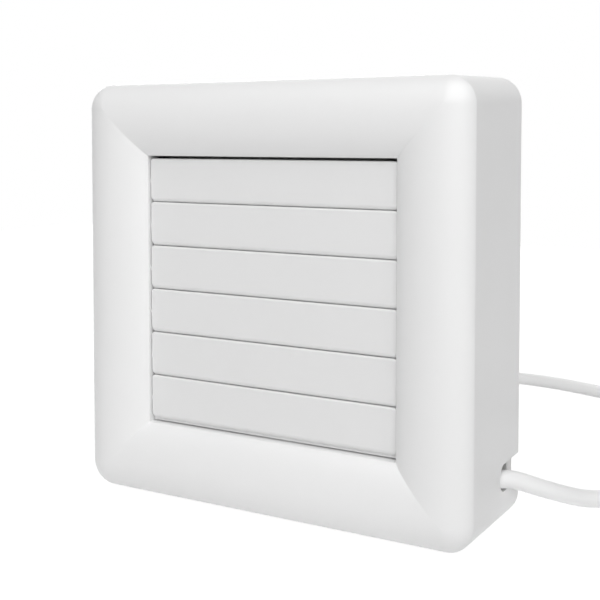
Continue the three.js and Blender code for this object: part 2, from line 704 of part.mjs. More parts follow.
function louvre() {
  const half = SLAT_LENGTH / 2;
  const crank = { y: CRANK_REST.depth - PIVOT_DEPTH, z: CRANK_REST.rise };
  const barFar = BAR_X - BAR_THICKNESS - CRANK_PIN_OVERHANG;
  return join(
    extrudedX(slatShape(), [-half, half]),
    cylinderX(PIN_BOSS_RADIUS, [half - PIN_BOSS_LENGTH, half], 0, 0, 8),
    cylinderX(PIN_BOSS_RADIUS, [-half, PIN_BOSS_LENGTH - half], 0, 0, 8),
    cylinderX(PIN_RADIUS, [half - 1, OPENING_HALF + PIN_REACH], 0, 0),
    cylinderX(PIN_RADIUS, [CRANK_X - 1, 1 - half], 0, 0),
    extrudedX(linkShape(), [CRANK_X - CRANK_THICKNESS, CRANK_X]).rotateX(-LOUVRE_TRAVEL / 2),
    cylinderX(CRANK_PIN_RADIUS, [barFar, CRANK_X - 1], crank.y, crank.z),
  );
}

function tieBar() {
  const heights = Array.from({ length: SLAT_COUNT }, (_, k) => pivotHeight(k) + CRANK_REST.rise);
  const middle = (heights[0] + heights[SLAT_COUNT - 1]) / 2;
  const halfLength = (heights[0] - heights[SLAT_COUNT - 1]) / 2 + BAR_WIDTH / 2;
  const shape = roundedRectangle(BAR_WIDTH / 2, halfLength, BAR_WIDTH / 2 - FIT_GAP);
  heights.forEach((z) => shape.holes.push(roundHole(0, z - middle, CRANK_PIN_RADIUS + LINK_GAP)));
  const bar = extrudedX(shape, [BAR_X - BAR_THICKNESS, BAR_X], 5);
  bar.translate(0, CRANK_REST.depth, middle);
  const lugReach = [PLUNGER_X - FORK_WIDTH / 2 + 0.5, BAR_X - BAR_THICKNESS / 2];
  return join(bar, cylinderX(LUG_RADIUS, lugReach, CRANK_REST.depth, LUG_HEIGHT));
}

// A comb that closes the open pivot slots of the left rim from behind.
function louvreRetainer() {
  const back = RIM_DEPTH + FIT_GAP;
  const tooth = [-RIM_OUTSIDE + FIT_GAP, -OPENING_HALF - FIT_GAP];
  const width = 2 * (PIN_RADIUS - FIT_GAP);
  const teeth = Array.from({ length: SLAT_COUNT }, (_, k) =>
    box(tooth, [PIVOT_DEPTH + PIN_RADIUS + PIN_GAP, back + 0.5], centred(pivotHeight(k), width)),
  );
  const ends = [pivotHeight(SLAT_COUNT - 1) - CRANK_RADIUS, pivotHeight(0) + CRANK_RADIUS];
  return join(box([-RIM_OUTSIDE, -OPENING_HALF], [back, back + RETAINER_THICKNESS], ends), ...teeth);
}

// ---------------------------------------------------------------------------------------------
// Louvre actuator: a heated wax capsule pushes the tie bar up, and a spring brings it back
// ---------------------------------------------------------------------------------------------

function actuatorFrame() {
  const width = centred(PLUNGER_X, FRAME_WIDTH);
  const shelf = [PLUNGER_DEPTH - WAX_RADIUS, FRAME_DEPTH + FRAME_SHEET / 2];
  const whole = join(
    box(
      width,
      [FRAME_DEPTH, FRAME_DEPTH + FRAME_SHEET],
      [FRAME_SCREWS[1] - FRAME_END, FRAME_SCREWS[0] + FRAME_END],
    ),
    box(width, shelf, [BOTTOM_SHELF - FRAME_SHELF, BOTTOM_SHELF]),
    box(width, shelf, [TOP_SHELF, TOP_SHELF + FRAME_SHELF]),
  );
  const screwHoles = FRAME_SCREWS.map((z) =>
    cylinderY(
      SMALL_SCREW.shank + LINK_GAP,
      [FRAME_DEPTH - 1, FRAME_DEPTH + FRAME_SHEET + 1],
      PLUNGER_X,
      z,
    ),
  );
  const guideHole = cylinderZ(
    GUIDE_RADIUS + LINK_GAP,
    [TOP_SHELF - 1, TOP_SHELF + FRAME_SHELF + 1],
    PLUNGER_X,
    PLUNGER_DEPTH,
  );
  return cut(whole, ...screwHoles, guideHole);
}

// A capsule with a blind bore for the plunger in its neck, standing on +Z.
function waxCapsule() {
  const bore = PLUNGER_RADIUS + LINK_GAP;
  const boreBottom = FORK_BOTTOM - PLUNGER_LENGTH - WAX_BORE_MARGIN;
  const shoulder = WAX_TOP - WAX_NECK_LENGTH;
  return turned([
    [0, WAX_BOTTOM],
    [WAX_RADIUS, WAX_BOTTOM],
    [WAX_RADIUS, shoulder],
    [WAX_NECK_RADIUS, shoulder + 1],
    [WAX_NECK_RADIUS, WAX_TOP],
    [bore, WAX_TOP],
    [bore, boreBottom],
    [0, boreBottom],
  ])
    .rotateX(PI / 2)
    .translate(PLUNGER_X, PLUNGER_DEPTH, 0);
}

function actuatorPlunger() {
  const whole = join(
    cylinderZ(PLUNGER_RADIUS, [FORK_BOTTOM - PLUNGER_LENGTH, FORK_BOTTOM + 1], PLUNGER_X, PLUNGER_DEPTH),
    cylinderZ(GUIDE_RADIUS, [FORK_TOP - 1, FORK_TOP + GUIDE_LENGTH], PLUNGER_X, PLUNGER_DEPTH),
    box(
      centred(PLUNGER_X, FORK_WIDTH),
      centred(PLUNGER_DEPTH, FORK_DEPTH),
      [FORK_BOTTOM, FORK_TOP],
    ),
  );
  const reach = LUG_RADIUS + LINK_GAP;
  const slot = box(
    centred(PLUNGER_X, FORK_WIDTH + 2),
    [CRANK_REST.depth - reach, CRANK_REST.depth + CRANK_BULGE + reach],
    centred(LUG_HEIGHT, 2 * (reach + FORK_ERROR)),
  );
  return cut(whole, slot);
}

function returnSpring() {
  const steps = 8;
  const total = SPRING_TURNS * steps;
  const bottom = FORK_TOP + SEAT_GAP + SPRING_WIRE;
  const rise = TOP_SHELF - SEAT_GAP - SPRING_WIRE - bottom;
  const points = Array.from({ length: total + 1 }, (_, k) => {
    const angle = (2 * PI * k) / steps;
    return vector(
      PLUNGER_X + SPRING_RADIUS * cos(angle),
      PLUNGER_DEPTH + SPRING_RADIUS * sin(angle),
      bottom + (rise * k) / total,
    );
  });
  return woundTube(points, SPRING_WIRE, 5);
}

// ---------------------------------------------------------------------------------------------
// Screws. The head's underside is at the origin and the shank points rearward.
// ---------------------------------------------------------------------------------------------

function screw({ shank, head, height }, length) {
  const body = turned(
    [
      [0, -height],
      [head * 0.8, -height],
      [head, -height * 0.5],
      [head, 0],
      [shank, 0],
      [shank, length],
      [0, length],
    ],
    SCREW_SIDES,
  );
  const recess = [-height - 1, RECESS_DEPTH - height];
  const [wide, narrow] = [centred(0, head * 1.2), centred(0, RECESS_WIDTH)];
  return cut(body, box(wide, recess, narrow), box(narrow, recess, wide));
}

function addScrew(name, kind, length, [x, y, z], facesRear, material) {
  const mesh = add(name, screw(kind, length), material);
  mesh.position.set(x, y, z);
  if (facesRear) mesh.rotation.x = PI;
}

// ---------------------------------------------------------------------------------------------
// Fan housing
// ---------------------------------------------------------------------------------------------

function bellCurve(radius, front, flare, length) {
  return Array.from({ length: 5 }, (_, k) => {
    const angle = (k / 4) * (PI / 2);
    return [radius + flare * (1 - sin(angle)), front + length * (1 - cos(angle))];
  });
}

function ductTunnel() {
  const outside = bellCurve(TUNNEL_OUTSIDE, BAFFLE_DEPTH, BELL_FLARE, BELL_LENGTH + HOUSING_WALL);
  const inside = bellCurve(TUNNEL_BORE, BAFFLE_DEPTH, BELL_FLARE, BELL_LENGTH).reverse();
  return turned(
    [...outside, [TUNNEL_OUTSIDE, SPIGOT_END], [TUNNEL_BORE, SPIGOT_END], ...inside],
    TUNNEL_SIDES,
  );
}

function baffle() {
  const shape = roundedRectangle(BAFFLE_HALF, BAFFLE_HALF, 4);
  shape.holes.push(roundHole(0, 0, TUNNEL_BORE + BELL_FLARE + HOUSING_WALL / 4));
  return extrudedY(shape, [BAFFLE_DEPTH, BAFFLE_DEPTH + BAFFLE_THICKNESS], 12);
}

function backPlate() {
  const half = housingHalf(PLATE_DEPTH);
  const shape = roundedRectangle(half, half, CORNER_RADIUS - COVER_WALL - HOUSING_GAP);
  shape.holes.push(roundHole(0, 0, TUNNEL_BORE + HOUSING_WALL / 2));
  [-1, 1].forEach((x) =>
    [-1, 1].forEach((z) =>
      shape.holes.push(roundHole(x * FIXING_X, z * FIXING_Z, FIXING_HOLE_RADIUS)),
    ),
  );
  return extrudedY(shape, [PLATE_DEPTH, REAR_DEPTH]);
}

function housingRim() {
  const ring = (depth, inset) =>
    squareRing(
      housingHalf(depth) - inset,
      CORNER_RADIUS - COVER_WALL - HOUSING_GAP - inset,
      depth,
    );
  const foot = PLATE_DEPTH + PLATE_THICKNESS / 2;
  return loft(
    [
      ring(foot, 0),
      ring(HOUSING_RIM_DEPTH, 0),
      ring(HOUSING_RIM_DEPTH, HOUSING_WALL),
      ring(foot, HOUSING_WALL),
    ],
    true,
  );
}

// A strut from the motor cup out to the tunnel, turned about the fan axis.
function strut(angle, width, front) {
  const reach = [CUP_RADIUS - HOUSING_WALL / 2, TUNNEL_BORE + HOUSING_WALL / 2];
  return box(reach, [front, STRUT_REAR], centred(0, width)).rotateY(-angle);
}

function motorCup() {
  const seat = BEARING_RADIUS + FIT_GAP;
  const floor = CUP_FRONT + CUP_FLOOR;
  const bossFront = FRONT_BEARING_DEPTH - SEAT_GAP;
  const bossRear = FRONT_BEARING_DEPTH + BEARING_LENGTH + SEAT_GAP;
  return turned([
    [CUP_RADIUS, CUP_FRONT],
    [CUP_RADIUS, CUP_REAR],
    [CUP_BORE, CUP_REAR],
    [CUP_BORE, floor],
    [BEARING_BOSS_RADIUS, floor],
    [BEARING_BOSS_RADIUS, bossRear],
    [seat, bossRear],
    [seat, bossFront],
    [BEARING_BOSS_RADIUS, bossFront],
    [BEARING_BOSS_RADIUS, CUP_FRONT],
  ]);
}

const capLugPlaces = STRUT_ANGLES.map((angle) => [LUG_CIRCLE * cos(angle), LUG_CIRCLE * sin(angle)]);

function clampScrewHeights() {
  return [-1, 1].map((side) => CORD_HEIGHT + (side * CLAMP_SCREW_SPACING) / 2);
}

function fanHousing() {
  const blockMiddle = [(BLOCK_X[0] + BLOCK_X[1]) / 2, (BLOCK_Z[0] + BLOCK_Z[1]) / 2];
  const inset = ([low, high], by) => [low + by, high - by];
  const whole = join(
    ductTunnel(),
    baffle(),
    backPlate(),
    housingRim(),
    strut(STRUT_ANGLES[0], CABLE_STRUT_WIDTH, CUP_FRONT),
    ...STRUT_ANGLES.slice(1).map((angle) => strut(angle, STRUT_WIDTH, STRUT_FRONT)),
    motorCup(),
    ...capLugPlaces.map(([x, z]) =>
      cylinderY(CAP_LUG_RADIUS, [CUP_REAR - CAP_LUG_LENGTH, CUP_REAR], x, z),
    ),
    box(CLAMP_X, [CLAMP_PART, PLATE_DEPTH + 1], centred(CORD_HEIGHT, CLAMP_SPAN)),
    box(
      inset(BLOCK_X, BLOCK_PEDESTAL_INSET),
      [BLOCK_REAR + FIT_GAP, PLATE_DEPTH + 1],
      inset(BLOCK_Z, BLOCK_PEDESTAL_INSET),
    ),
  );
  const gripBottom = (seat) => seat + SCREW_GRIP + PILOT_MARGIN;
  const rightRim = [housingHalf(0) - HOUSING_WALL - 2, outerHalf(REAR_DEPTH)];
  return cut(
    whole,
    box(
      centred(0, CHANNEL_WIDTH),
      [CHANNEL_FRONT, CHANNEL_REAR],
      [-TUNNEL_OUTSIDE - 2, -CUP_BORE + 1],
    ),
    box(
      rightRim,
      [HOUSING_RIM_DEPTH - 1, PLATE_DEPTH],
      centred(NOTCH_CENTRE, NOTCH_HEIGHT + 2 * HOUSING_NOTCH_MARGIN),
    ),
    ...catchRibs(FIT_GAP * 4),
    ...capLugPlaces.map(([x, z]) =>
      cylinderY(SMALL_SCREW.shank + FIT_GAP, [CUP_REAR - SCREW_GRIP - PILOT_MARGIN, CUP_REAR + 1], x, z),
    ),
    cylinderX(CORD_RADIUS + SEAT_GAP, [CLAMP_X[0] - 1, CLAMP_X[1] + 1], CORD_DEPTH, CORD_HEIGHT),
    ...clampScrewHeights().map((z) =>
      cylinderY(
        LARGE_SCREW.shank + FIT_GAP,
        [CLAMP_PART - 1, gripBottom(CLAMP_PART)],
        (CLAMP_X[0] + CLAMP_X[1]) / 2,
        z,
      ),
    ),
    cylinderY(
      SMALL_SCREW.shank + FIT_GAP,
      [BLOCK_REAR - 1, gripBottom(BLOCK_REAR)],
      ...blockMiddle,
    ),
  );
}

// ---------------------------------------------------------------------------------------------
// Motor
// ---------------------------------------------------------------------------------------------

function bearing(front) {
  const bore = SHAFT_RADIUS + SHAFT_GAP;
  const rear = front + BEARING_LENGTH;
  return turned([
    [BEARING_RADIUS, front],
    [BEARING_RADIUS, rear],
    [bore, rear],
    [bore, front],
  ]);
}

function ringOf(inner, outer, [front, rear]) {
  return turned([
    [outer, front],
    [outer, rear],
    [inner, rear],
    [inner, front],
  ]);
}

function aroundAxis(piece) {
  return Array.from({ length: STATOR_SLOTS }, (_, k) =>
    piece.clone().rotateY((2 * PI * (k + 0.5)) / STATOR_SLOTS),
  );
}

function motorStator() {
  const slot = box([SLOT_INNER, SLOT_OUTER], [STATOR_FRONT - 1, STATOR_REAR + 1], centred(0, SLOT_WIDTH));
  return cut(ringOf(STATOR_BORE, STATOR_RADIUS, [STATOR_FRONT, STATOR_REAR]), ...aroundAxis(slot));
}

// Two end rings of wire, joined by the coil sides that lie in the stator's slots.
function statorWinding() {
  const [front, rear] = [STATOR_FRONT - SEAT_GAP, STATOR_REAR + SEAT_GAP];
  const side = box(
    [SLOT_INNER + SEAT_GAP, SLOT_OUTER - SEAT_GAP],
    [front - 1, rear + 1],
    centred(0, SLOT_WIDTH - 2 * SEAT_GAP),
  );
  return join(
    ringOf(WINDING_INNER, WINDING_OUTER, [front - WINDING_OVERHANG, front]),
    ringOf(WINDING_INNER, WINDING_OUTER, [rear, rear + WINDING_OVERHANG]),
    ...aroundAxis(side),
  );
}

function motorRotor() {
  const end = 1.2;
  return turned([
    [STATOR_BORE - 2 - AIR_GAP, STATOR_FRONT - end],
    [STATOR_BORE - 2 - AIR_GAP, STATOR_FRONT],
    [STATOR_BORE - AIR_GAP, STATOR_FRONT],
    [STATOR_BORE - AIR_GAP, STATOR_REAR],
    [STATOR_BORE - 2 - AIR_GAP, STATOR_REAR],
    [STATOR_BORE - 2 - AIR_GAP, STATOR_REAR + end],
    [SHAFT_RADIUS + SHAFT_GAP, STATOR_REAR + end],
    [SHAFT_RADIUS + SHAFT_GAP, STATOR_FRONT - end],
  ]);
}

function motorCap() {
  const seat = BEARING_RADIUS + FIT_GAP;
  const rear = CAP_DEPTH + CAP_THICKNESS;
  const disc = turned([
    [CUP_RADIUS, CAP_DEPTH],
    [CUP_RADIUS, rear],
    [seat, rear],
    [seat, REAR_BEARING_DEPTH - SEAT_GAP],
    [BEARING_BOSS_RADIUS, REAR_BEARING_DEPTH - SEAT_GAP],
    [BEARING_BOSS_RADIUS, CAP_DEPTH],
  ]);
  const ears = capLugPlaces.map(([x, z]) => cylinderY(CAP_LUG_RADIUS, [CAP_DEPTH, rear], x, z));
  const holes = capLugPlaces.map(([x, z]) =>
    cylinderY(SMALL_SCREW.shank + LINK_GAP, [CAP_DEPTH - 1, rear + 1], x, z),
  );
  return cut(join(disc, ...ears), ...holes);
}

// ---------------------------------------------------------------------------------------------
// Impeller
// ---------------------------------------------------------------------------------------------

function impellerHub() {
  const bore = SHAFT_RADIUS + SHAFT_GAP;
  const floor = HUB_FRONT + HUB_WALL;
  return turned([
    [HUB_RADIUS - HUB_WALL, HUB_FRONT],
    [HUB_RADIUS, HUB_FRONT + HUB_WALL],
    [HUB_RADIUS, HUB_REAR],
    [HUB_RADIUS - HUB_WALL, HUB_REAR],
    [HUB_RADIUS - HUB_WALL, floor],
    [HUB_BOSS_RADIUS, floor],
    [HUB_BOSS_RADIUS, HUB_REAR - HUB_WALL],
    [bore, HUB_REAR - HUB_WALL],
    [bore, HUB_FRONT],
  ]);
}

// One twisted blade: sections that cover a growing arc from the hub to the tip.
function blade() {
  const [stations, steps] = [4, 5];
  const root = HUB_RADIUS - HUB_WALL / 2;
  const section = (station) => {
    const share = station / stations;
    const radius = root + (BLADE_TIP - root) * share;
    const span = ROOT_SPAN + (TIP_SPAN - ROOT_SPAN) * share;
    const slope = hypot(1, (BLADE_REAR - BLADE_FRONT) / (radius * span));
    const at = (along, side) => {
      const angle = (along - 0.5) * span;
      const camber = 1.5 * sin(PI * along);
      const thickness = BLADE_THICKNESS * (0.35 + 0.65 * sin(PI * along)) * slope;
      const depth = BLADE_FRONT + (BLADE_REAR - BLADE_FRONT) * along - camber;
      return vector(radius * cos(angle), depth + (side * thickness) / 2, radius * sin(angle));
    };
    const along = Array.from({ length: steps + 1 }, (_, k) => k / steps);
    return [...along.map((u) => at(u, 1)), ...along.reverse().map((u) => at(u, -1))];
  };
  return loft(Array.from({ length: stations + 1 }, (_, k) => section(k)), false);
}

function impeller() {
  const blades = Array.from({ length: BLADE_COUNT }, (_, k) =>
    blade().rotateY((2 * PI * k) / BLADE_COUNT),
  );
  return join(impellerHub(), ...blades);
}

// ---------------------------------------------------------------------------------------------
// Terminal block and cord clamp
// ---------------------------------------------------------------------------------------------

function terminalPlaces() {
  const middle = (BLOCK_X[0] + BLOCK_X[1]) / 2;
  return POLES.flatMap((z) => [-1, 1].map((side) => [middle + (side * TERMINAL_SPACING) / 2, z]));
}

function terminalBlock() {
  const middle = [(BLOCK_X[0] + BLOCK_X[1]) / 2, (BLOCK_Z[0] + BLOCK_Z[1]) / 2];
  const body = box(BLOCK_X, [BLOCK_FRONT, BLOCK_REAR], BLOCK_Z);
  const wells = terminalPlaces().map(([x, z]) =>
    cylinderY(
      SMALL_SCREW.head + LINK_GAP,
      [BLOCK_FRONT - 1, BLOCK_FRONT + SMALL_SCREW.height + LINK_GAP],
      x,
      z,
    ),
  );
  const shanks = terminalPlaces().map(([x, z]) =>
    cylinderY(SMALL_SCREW.shank + FIT_GAP, [BLOCK_FRONT, BLOCK_FRONT + SCREW_GRIP], x, z),
  );
  const fixing = cylinderY(SMALL_SCREW.shank + LINK_GAP, [BLOCK_FRONT - 1, BLOCK_REAR + 1], ...middle);
  const fixingWell = cylinderY(
    SMALL_SCREW.head + LINK_GAP,
    [BLOCK_FRONT - 1, BLOCK_REAR - SCREW_GRIP / 2],
    ...middle,
  );
  return cut(body, ...wells, ...shanks, fixing, fixingWell);
}

function cordClamp() {
  const middle = (CLAMP_X[0] + CLAMP_X[1]) / 2;
  const bar = box(
    [CLAMP_X[0] + FIT_GAP, CLAMP_X[1] - FIT_GAP],
    [CLAMP_BAR_FRONT, CLAMP_BAR_REAR],
    centred(CORD_HEIGHT, CLAMP_SPAN),
  );
  return cut(
    bar,
    cylinderX(CORD_RADIUS + SEAT_GAP, [CLAMP_X[0] - 1, CLAMP_X[1] + 1], CORD_DEPTH, CORD_HEIGHT),
    ...clampScrewHeights().map((z) =>
      cylinderY(LARGE_SCREW.shank + LINK_GAP, [CLAMP_BAR_FRONT - 1, CLAMP_BAR_REAR + 1], middle, z),
    ),
  );
}

// ---------------------------------------------------------------------------------------------
// Mains cord, coil and plug
// ---------------------------------------------------------------------------------------------

const CORD_START = CLAMP_X[0] - 2;

// From the clamp, out of the notch, down to the floor, round in a wide loop on the right and
// back behind the fan to the coil. Chosen by hand.
function cordRoute() {
  const from = (x, back, rise) =>
    vector(PANEL_SIZE / 2 + x, CORD_DEPTH + back, CORD_HEIGHT + rise);
  return [
    vector(CORD_START, CORD_DEPTH, CORD_HEIGHT),
    vector(CORD_START + 7, CORD_DEPTH, CORD_HEIGHT),
    from(-20, 0.1, 0),
    from(-14, 0.8, 0),
    from(-8.7, 2.7, 0),
    from(-3.9, 5.8, 0.1),
    from(0.7, 10, 0.1),
    from(4.5, 14.1, -1.2),
    from(9.2, 19.8, -4.1),
    from(14, 26.2, -7.2),
    from(18.5, 33.4, -10.4),
    from(22.9, 40.9, -13.3),
    from(28.3, 49.2, -15.4),
    vector(121, 86, FLOOR_CORD),
    vector(130, 99, FLOOR_CORD),
    vector(139, 116, FLOOR_CORD),
    vector(145, 138, FLOOR_CORD),
    vector(147, 162, FLOOR_CORD),
    vector(144, 187, FLOOR_CORD),
    vector(136, 209, FLOOR_CORD),
    vector(122, 228, FLOOR_CORD),
    vector(103, 243, FLOOR_CORD),
    vector(82, 253, FLOOR_CORD),
    vector(62, 260, FLOOR_CORD),
    vector(45, 264, FLOOR_CORD),
    vector(28, 265.5, FLOOR_CORD),
    vector(8, 263.5, FLOOR_CORD),
    vector(-13, 258.5, FLOOR_CORD),
    vector(-32, 253.5, FLOOR_CORD),
    vector(-43, 251.4, FLOOR_CORD),
    vector(-48, COIL_CENTRE[1] + COIL_OUTER, FLOOR_CORD),
    vector(COIL_CENTRE[0] + CORD_RADIUS, COIL_CENTRE[1] + COIL_OUTER, FLOOR_CORD),
  ];
}

// Round turns that spiral in along the floor, climb a layer where the spiral reverses, and
// spiral out again on top. The tail then runs straight to the plug.
function coilPoints() {
  const steps = COIL_TURNS * LOOP_STEPS;
  const entry = vector(
    COIL_CENTRE[0] + CORD_RADIUS - SEAT_GAP,
    COIL_CENTRE[1] + COIL_OUTER,
    FLOOR_CORD,
  );
  const turns = Array.from({ length: steps + 1 }, (_, k) => {
    const turn = k / LOOP_STEPS;
    const fromMiddle = turn - COIL_TURNS / 2;
    const radius = COIL_INNER + COIL_PITCH * abs(fromMiddle);
    const climb = min(max(0.5 + 2 * fromMiddle, 0), 1);
    const angle = PI / 2 + 2 * PI * turn;
    return vector(
      COIL_CENTRE[0] + radius * cos(angle),
      COIL_CENTRE[1] + radius * sin(angle),
      FLOOR_CORD + COIL_LAYER * climb * climb * (3 - 2 * climb),
    );
  });
  const tail = vector(
    COIL_CENTRE[0] + COIL_TAIL,
    COIL_CENTRE[1] - COIL_OUTER,
    FLOOR_CORD + COIL_LAYER,
  );
  return [entry, ...turns, tail];
}

const PLUG_X = COIL_CENTRE[0] + COIL_TAIL + SEAT_GAP;
const PLUG_Y = COIL_CENTRE[1] - COIL_OUTER;
const PLUG_Z = FLOOR_CORD + COIL_LAYER;

function plugBody() {
  const bodyStart = PLUG_X + RELIEF_LENGTH;
  const half = PLUG_THICKNESS / 2;
  const shape = roundedRectangle(PLUG_WIDTH / 2, half, half - 1);
  const body = extrudedX(shape, [bodyStart, bodyStart + PLUG_LENGTH], 5).translate(0, PLUG_Y, PLUG_Z);
  const relief = turned([
    [0, 0],
    [CORD_RADIUS + 1, 0],
    [RELIEF_RADIUS, RELIEF_LENGTH + 1],
    [0, RELIEF_LENGTH + 1],
  ])
    .rotateZ(-PI / 2)
    .translate(PLUG_X, PLUG_Y, PLUG_Z);
  const sockets = [-1, 1].map((side) =>
    cylinderX(
      PLUG_PIN_RADIUS + FIT_GAP,
      [bodyStart + PLUG_LENGTH / 2, bodyStart + PLUG_LENGTH + 1],
      PLUG_Y + (side * PLUG_PIN_SPACING) / 2,
      PLUG_Z,
    ),
  );
  return cut(join(body, relief), ...sockets);
}

function plugPin(side) {
  const root = PLUG_X + RELIEF_LENGTH + PLUG_LENGTH / 2 + FIT_GAP;
  const tip = PLUG_X + RELIEF_LENGTH + PLUG_LENGTH + PLUG_PIN_LENGTH;
  return turned(
    [
      [0, root],
      [PLUG_PIN_RADIUS, root],
      [PLUG_PIN_RADIUS, tip - 1.5],
      [PLUG_PIN_RADIUS - 1, tip],
      [0, tip],
    ],
    SMALL_SIDES,
  )
    .rotateZ(-PI / 2)
    .translate(0, PLUG_Y + (side * PLUG_PIN_SPACING) / 2, PLUG_Z);
}

// ---------------------------------------------------------------------------------------------
// Leads inside the housing
// ---------------------------------------------------------------------------------------------

function supplyLead(side) {
  const z = CORD_HEIGHT + side * LEAD_OFFSET;
  const pole = POLES[side > 0 ? 1 : 0];
  const depth = CORD_DEPTH;
  return [
    vector(CORD_START - SEAT_GAP, depth, z),
    vector(CORD_START - 2, depth, z),
    vector(BLOCK_X[1] + 2, depth, pole),
    vector(BLOCK_X[1] + SEAT_GAP, depth, pole),
  ];
}

function motorLead(side) {
  const pole = POLES[side > 0 ? 1 : 0];
  const x = side * LEAD_OFFSET;
  const channel = (CHANNEL_FRONT + CHANNEL_REAR) / 2;
  const turn = -TUNNEL_OUTSIDE - LEAD_TURN - (POLE_SPACING * (1 - side)) / 2;
  return [
    vector(BLOCK_X[0] - SEAT_GAP, MOTOR_LEAD_DEPTH, pole),
    vector(BLOCK_X[0] - LEAD_STUB, MOTOR_LEAD_DEPTH, pole),
    vector(x + 9, MOTOR_LEAD_DEPTH + 4, pole + 0.5),
    vector(x + 2, channel - 5.8, pole + 3),
    vector(x, channel - 1, turn),
    vector(x, channel, -TUNNEL_OUTSIDE - 2),
    vector(x, channel, -WINDING_OUTER - SEAT_GAP),
  ];
}

// Along the bottom of the housing, behind the actuator and up the left wall to the wax capsule.
function actuatorLead(side) {
  const pole = POLES[side > 0 ? 1 : 0];
  const depth = (y) => y + (side * LEAD_OFFSET) / 3;
  const strip = BLOCK_Z[0] + LEAD_SAG + side * LEAD_OFFSET;
  const behind = depth(FRAME_DEPTH + FRAME_SHEET + SMALL_SCREW.height + LEAD_ROOM);
  const edge = PLUNGER_X - WAX_RADIUS;
  const end = BOTTOM_SHELF + LEAD_LIFT + side * LEAD_OFFSET;
  return [
    vector(BLOCK_X[0] - SEAT_GAP, ACTUATOR_LEAD_DEPTH, pole),
    vector(BLOCK_X[0] - LEAD_STUB, ACTUATOR_LEAD_DEPTH, pole),
    vector(BLOCK_X[0] - LEAD_BEND, behind, strip),
    vector(PLUNGER_X + FRAME_WIDTH, behind, strip),
    vector(PLUNGER_X, behind, strip),
    vector(edge - LEAD_ROOM, behind - LEAD_ROOM, strip + LEAD_ROOM),
    vector(edge - LEAD_ROOM, depth(PLUNGER_DEPTH + LEAD_ROOM), end - LEAD_SAG),
    vector(edge - LEAD_SAG, PLUNGER_DEPTH, end),
    vector(edge - SEAT_GAP, PLUNGER_DEPTH, end),
  ];
}

// ---------------------------------------------------------------------------------------------
// Assembly
// ---------------------------------------------------------------------------------------------

add("front_cover", frontCover(), COVER_WHITE);
add("fan_housing", fanHousing(), HOUSING_WHITE);
add("louvre_retainer", louvreRetainer(), LINK_WHITE);

const louvreGeometry = louvre();
for (let k = 0; k < SLAT_COUNT; k++) {
  add(`louvre_${k + 1}`, louvreGeometry, SLAT_WHITE).position.set(0, PIVOT_DEPTH, pivotHeight(k));
}
add("louvre_tie_bar", tieBar(), LINK_WHITE);

add("actuator_frame", actuatorFrame(), ZINC);
add("wax_capsule", waxCapsule(), BRASS);
add("actuator_plunger", actuatorPlunger(), STEEL);
add("return_spring", returnSpring(), STEEL);
FRAME_SCREWS.forEach((z, k) => {
  const seat = FRAME_DEPTH + FRAME_SHEET + FIT_GAP;
  const length = SCREW_GRIP + FRAME_SHEET;
  addScrew(`actuator_screw_${k + 1}`, SMALL_SCREW, length, [PLUNGER_X, seat, z], true, ZINC);
});

add("motor_stator", motorStator(), LAMINATION);
add("stator_winding", statorWinding(), COPPER);
add("motor_rotor", motorRotor(), LAMINATION);
add(
  "motor_shaft",
  cylinderY(SHAFT_RADIUS, [SHAFT_FRONT, SHAFT_REAR], 0, 0, ROUND_SIDES),
  STEEL,
);
add("front_bearing", bearing(FRONT_BEARING_DEPTH), BRONZE);
add("rear_bearing", bearing(REAR_BEARING_DEPTH), BRONZE);
add("motor_cap", motorCap(), HOUSING_WHITE);
capLugPlaces.forEach(([x, z], k) => {
  const seat = CAP_DEPTH + CAP_THICKNESS + FIT_GAP;
  addScrew(`motor_cap_screw_${k + 1}`, SMALL_SCREW, SCREW_GRIP + CAP_THICKNESS, [x, seat, z], true, ZINC);
});

add("impeller", impeller(), IMPELLER_GREY);
add(
  "impeller_clip",
  ringOf(SHAFT_RADIUS + SHAFT_GAP, CLIP_RADIUS, [
    HUB_FRONT - CLIP_THICKNESS - FIT_GAP,
    HUB_FRONT - FIT_GAP,
  ]),
  STEEL,
);

add("terminal_block", terminalBlock(), LINK_WHITE);
terminalPlaces().forEach(([x, z], k) => {
  const seat = BLOCK_FRONT + SMALL_SCREW.height + LINK_GAP - FIT_GAP;
  addScrew(`terminal_screw_${k + 1}`, SMALL_SCREW, SCREW_GRIP / 2, [x, seat, z], false, ZINC);
});
addScrew(
  "terminal_block_screw",
  SMALL_SCREW,
  SCREW_GRIP,
  [(BLOCK_X[0] + BLOCK_X[1]) / 2, BLOCK_REAR - SCREW_GRIP / 2 - FIT_GAP, (BLOCK_Z[0] + BLOCK_Z[1]) / 2],
  false,
  ZINC,
);
add("cord_clamp", cordClamp(), LINK_WHITE);
clampScrewHeights().forEach((z, k) => {
  const place = [(CLAMP_X[0] + CLAMP_X[1]) / 2, CLAMP_BAR_FRONT - FIT_GAP, z];
  const length = CLAMP_PART - CLAMP_BAR_FRONT + SCREW_GRIP;
  addScrew(`cord_clamp_screw_${k + 1}`, LARGE_SCREW, length, place, false, ZINC);
});

const LEADS = [
  ["live_lead", supplyLead(1), BROWN_LEAD],
  ["neutral_lead", supplyLead(-1), BLUE_LEAD],
  ["motor_lead_1", motorLead(1), BROWN_LEAD],
  ["motor_lead_2", motorLead(-1), BLUE_LEAD],
  ["actuator_lead_1", actuatorLead(1), RED_LEAD],
  ["actuator_lead_2", actuatorLead(-1), RED_LEAD],
];
LEADS.forEach(([name, route, material]) => add(name, cable(route, LEAD_RADIUS, LEAD_SIDES), material));

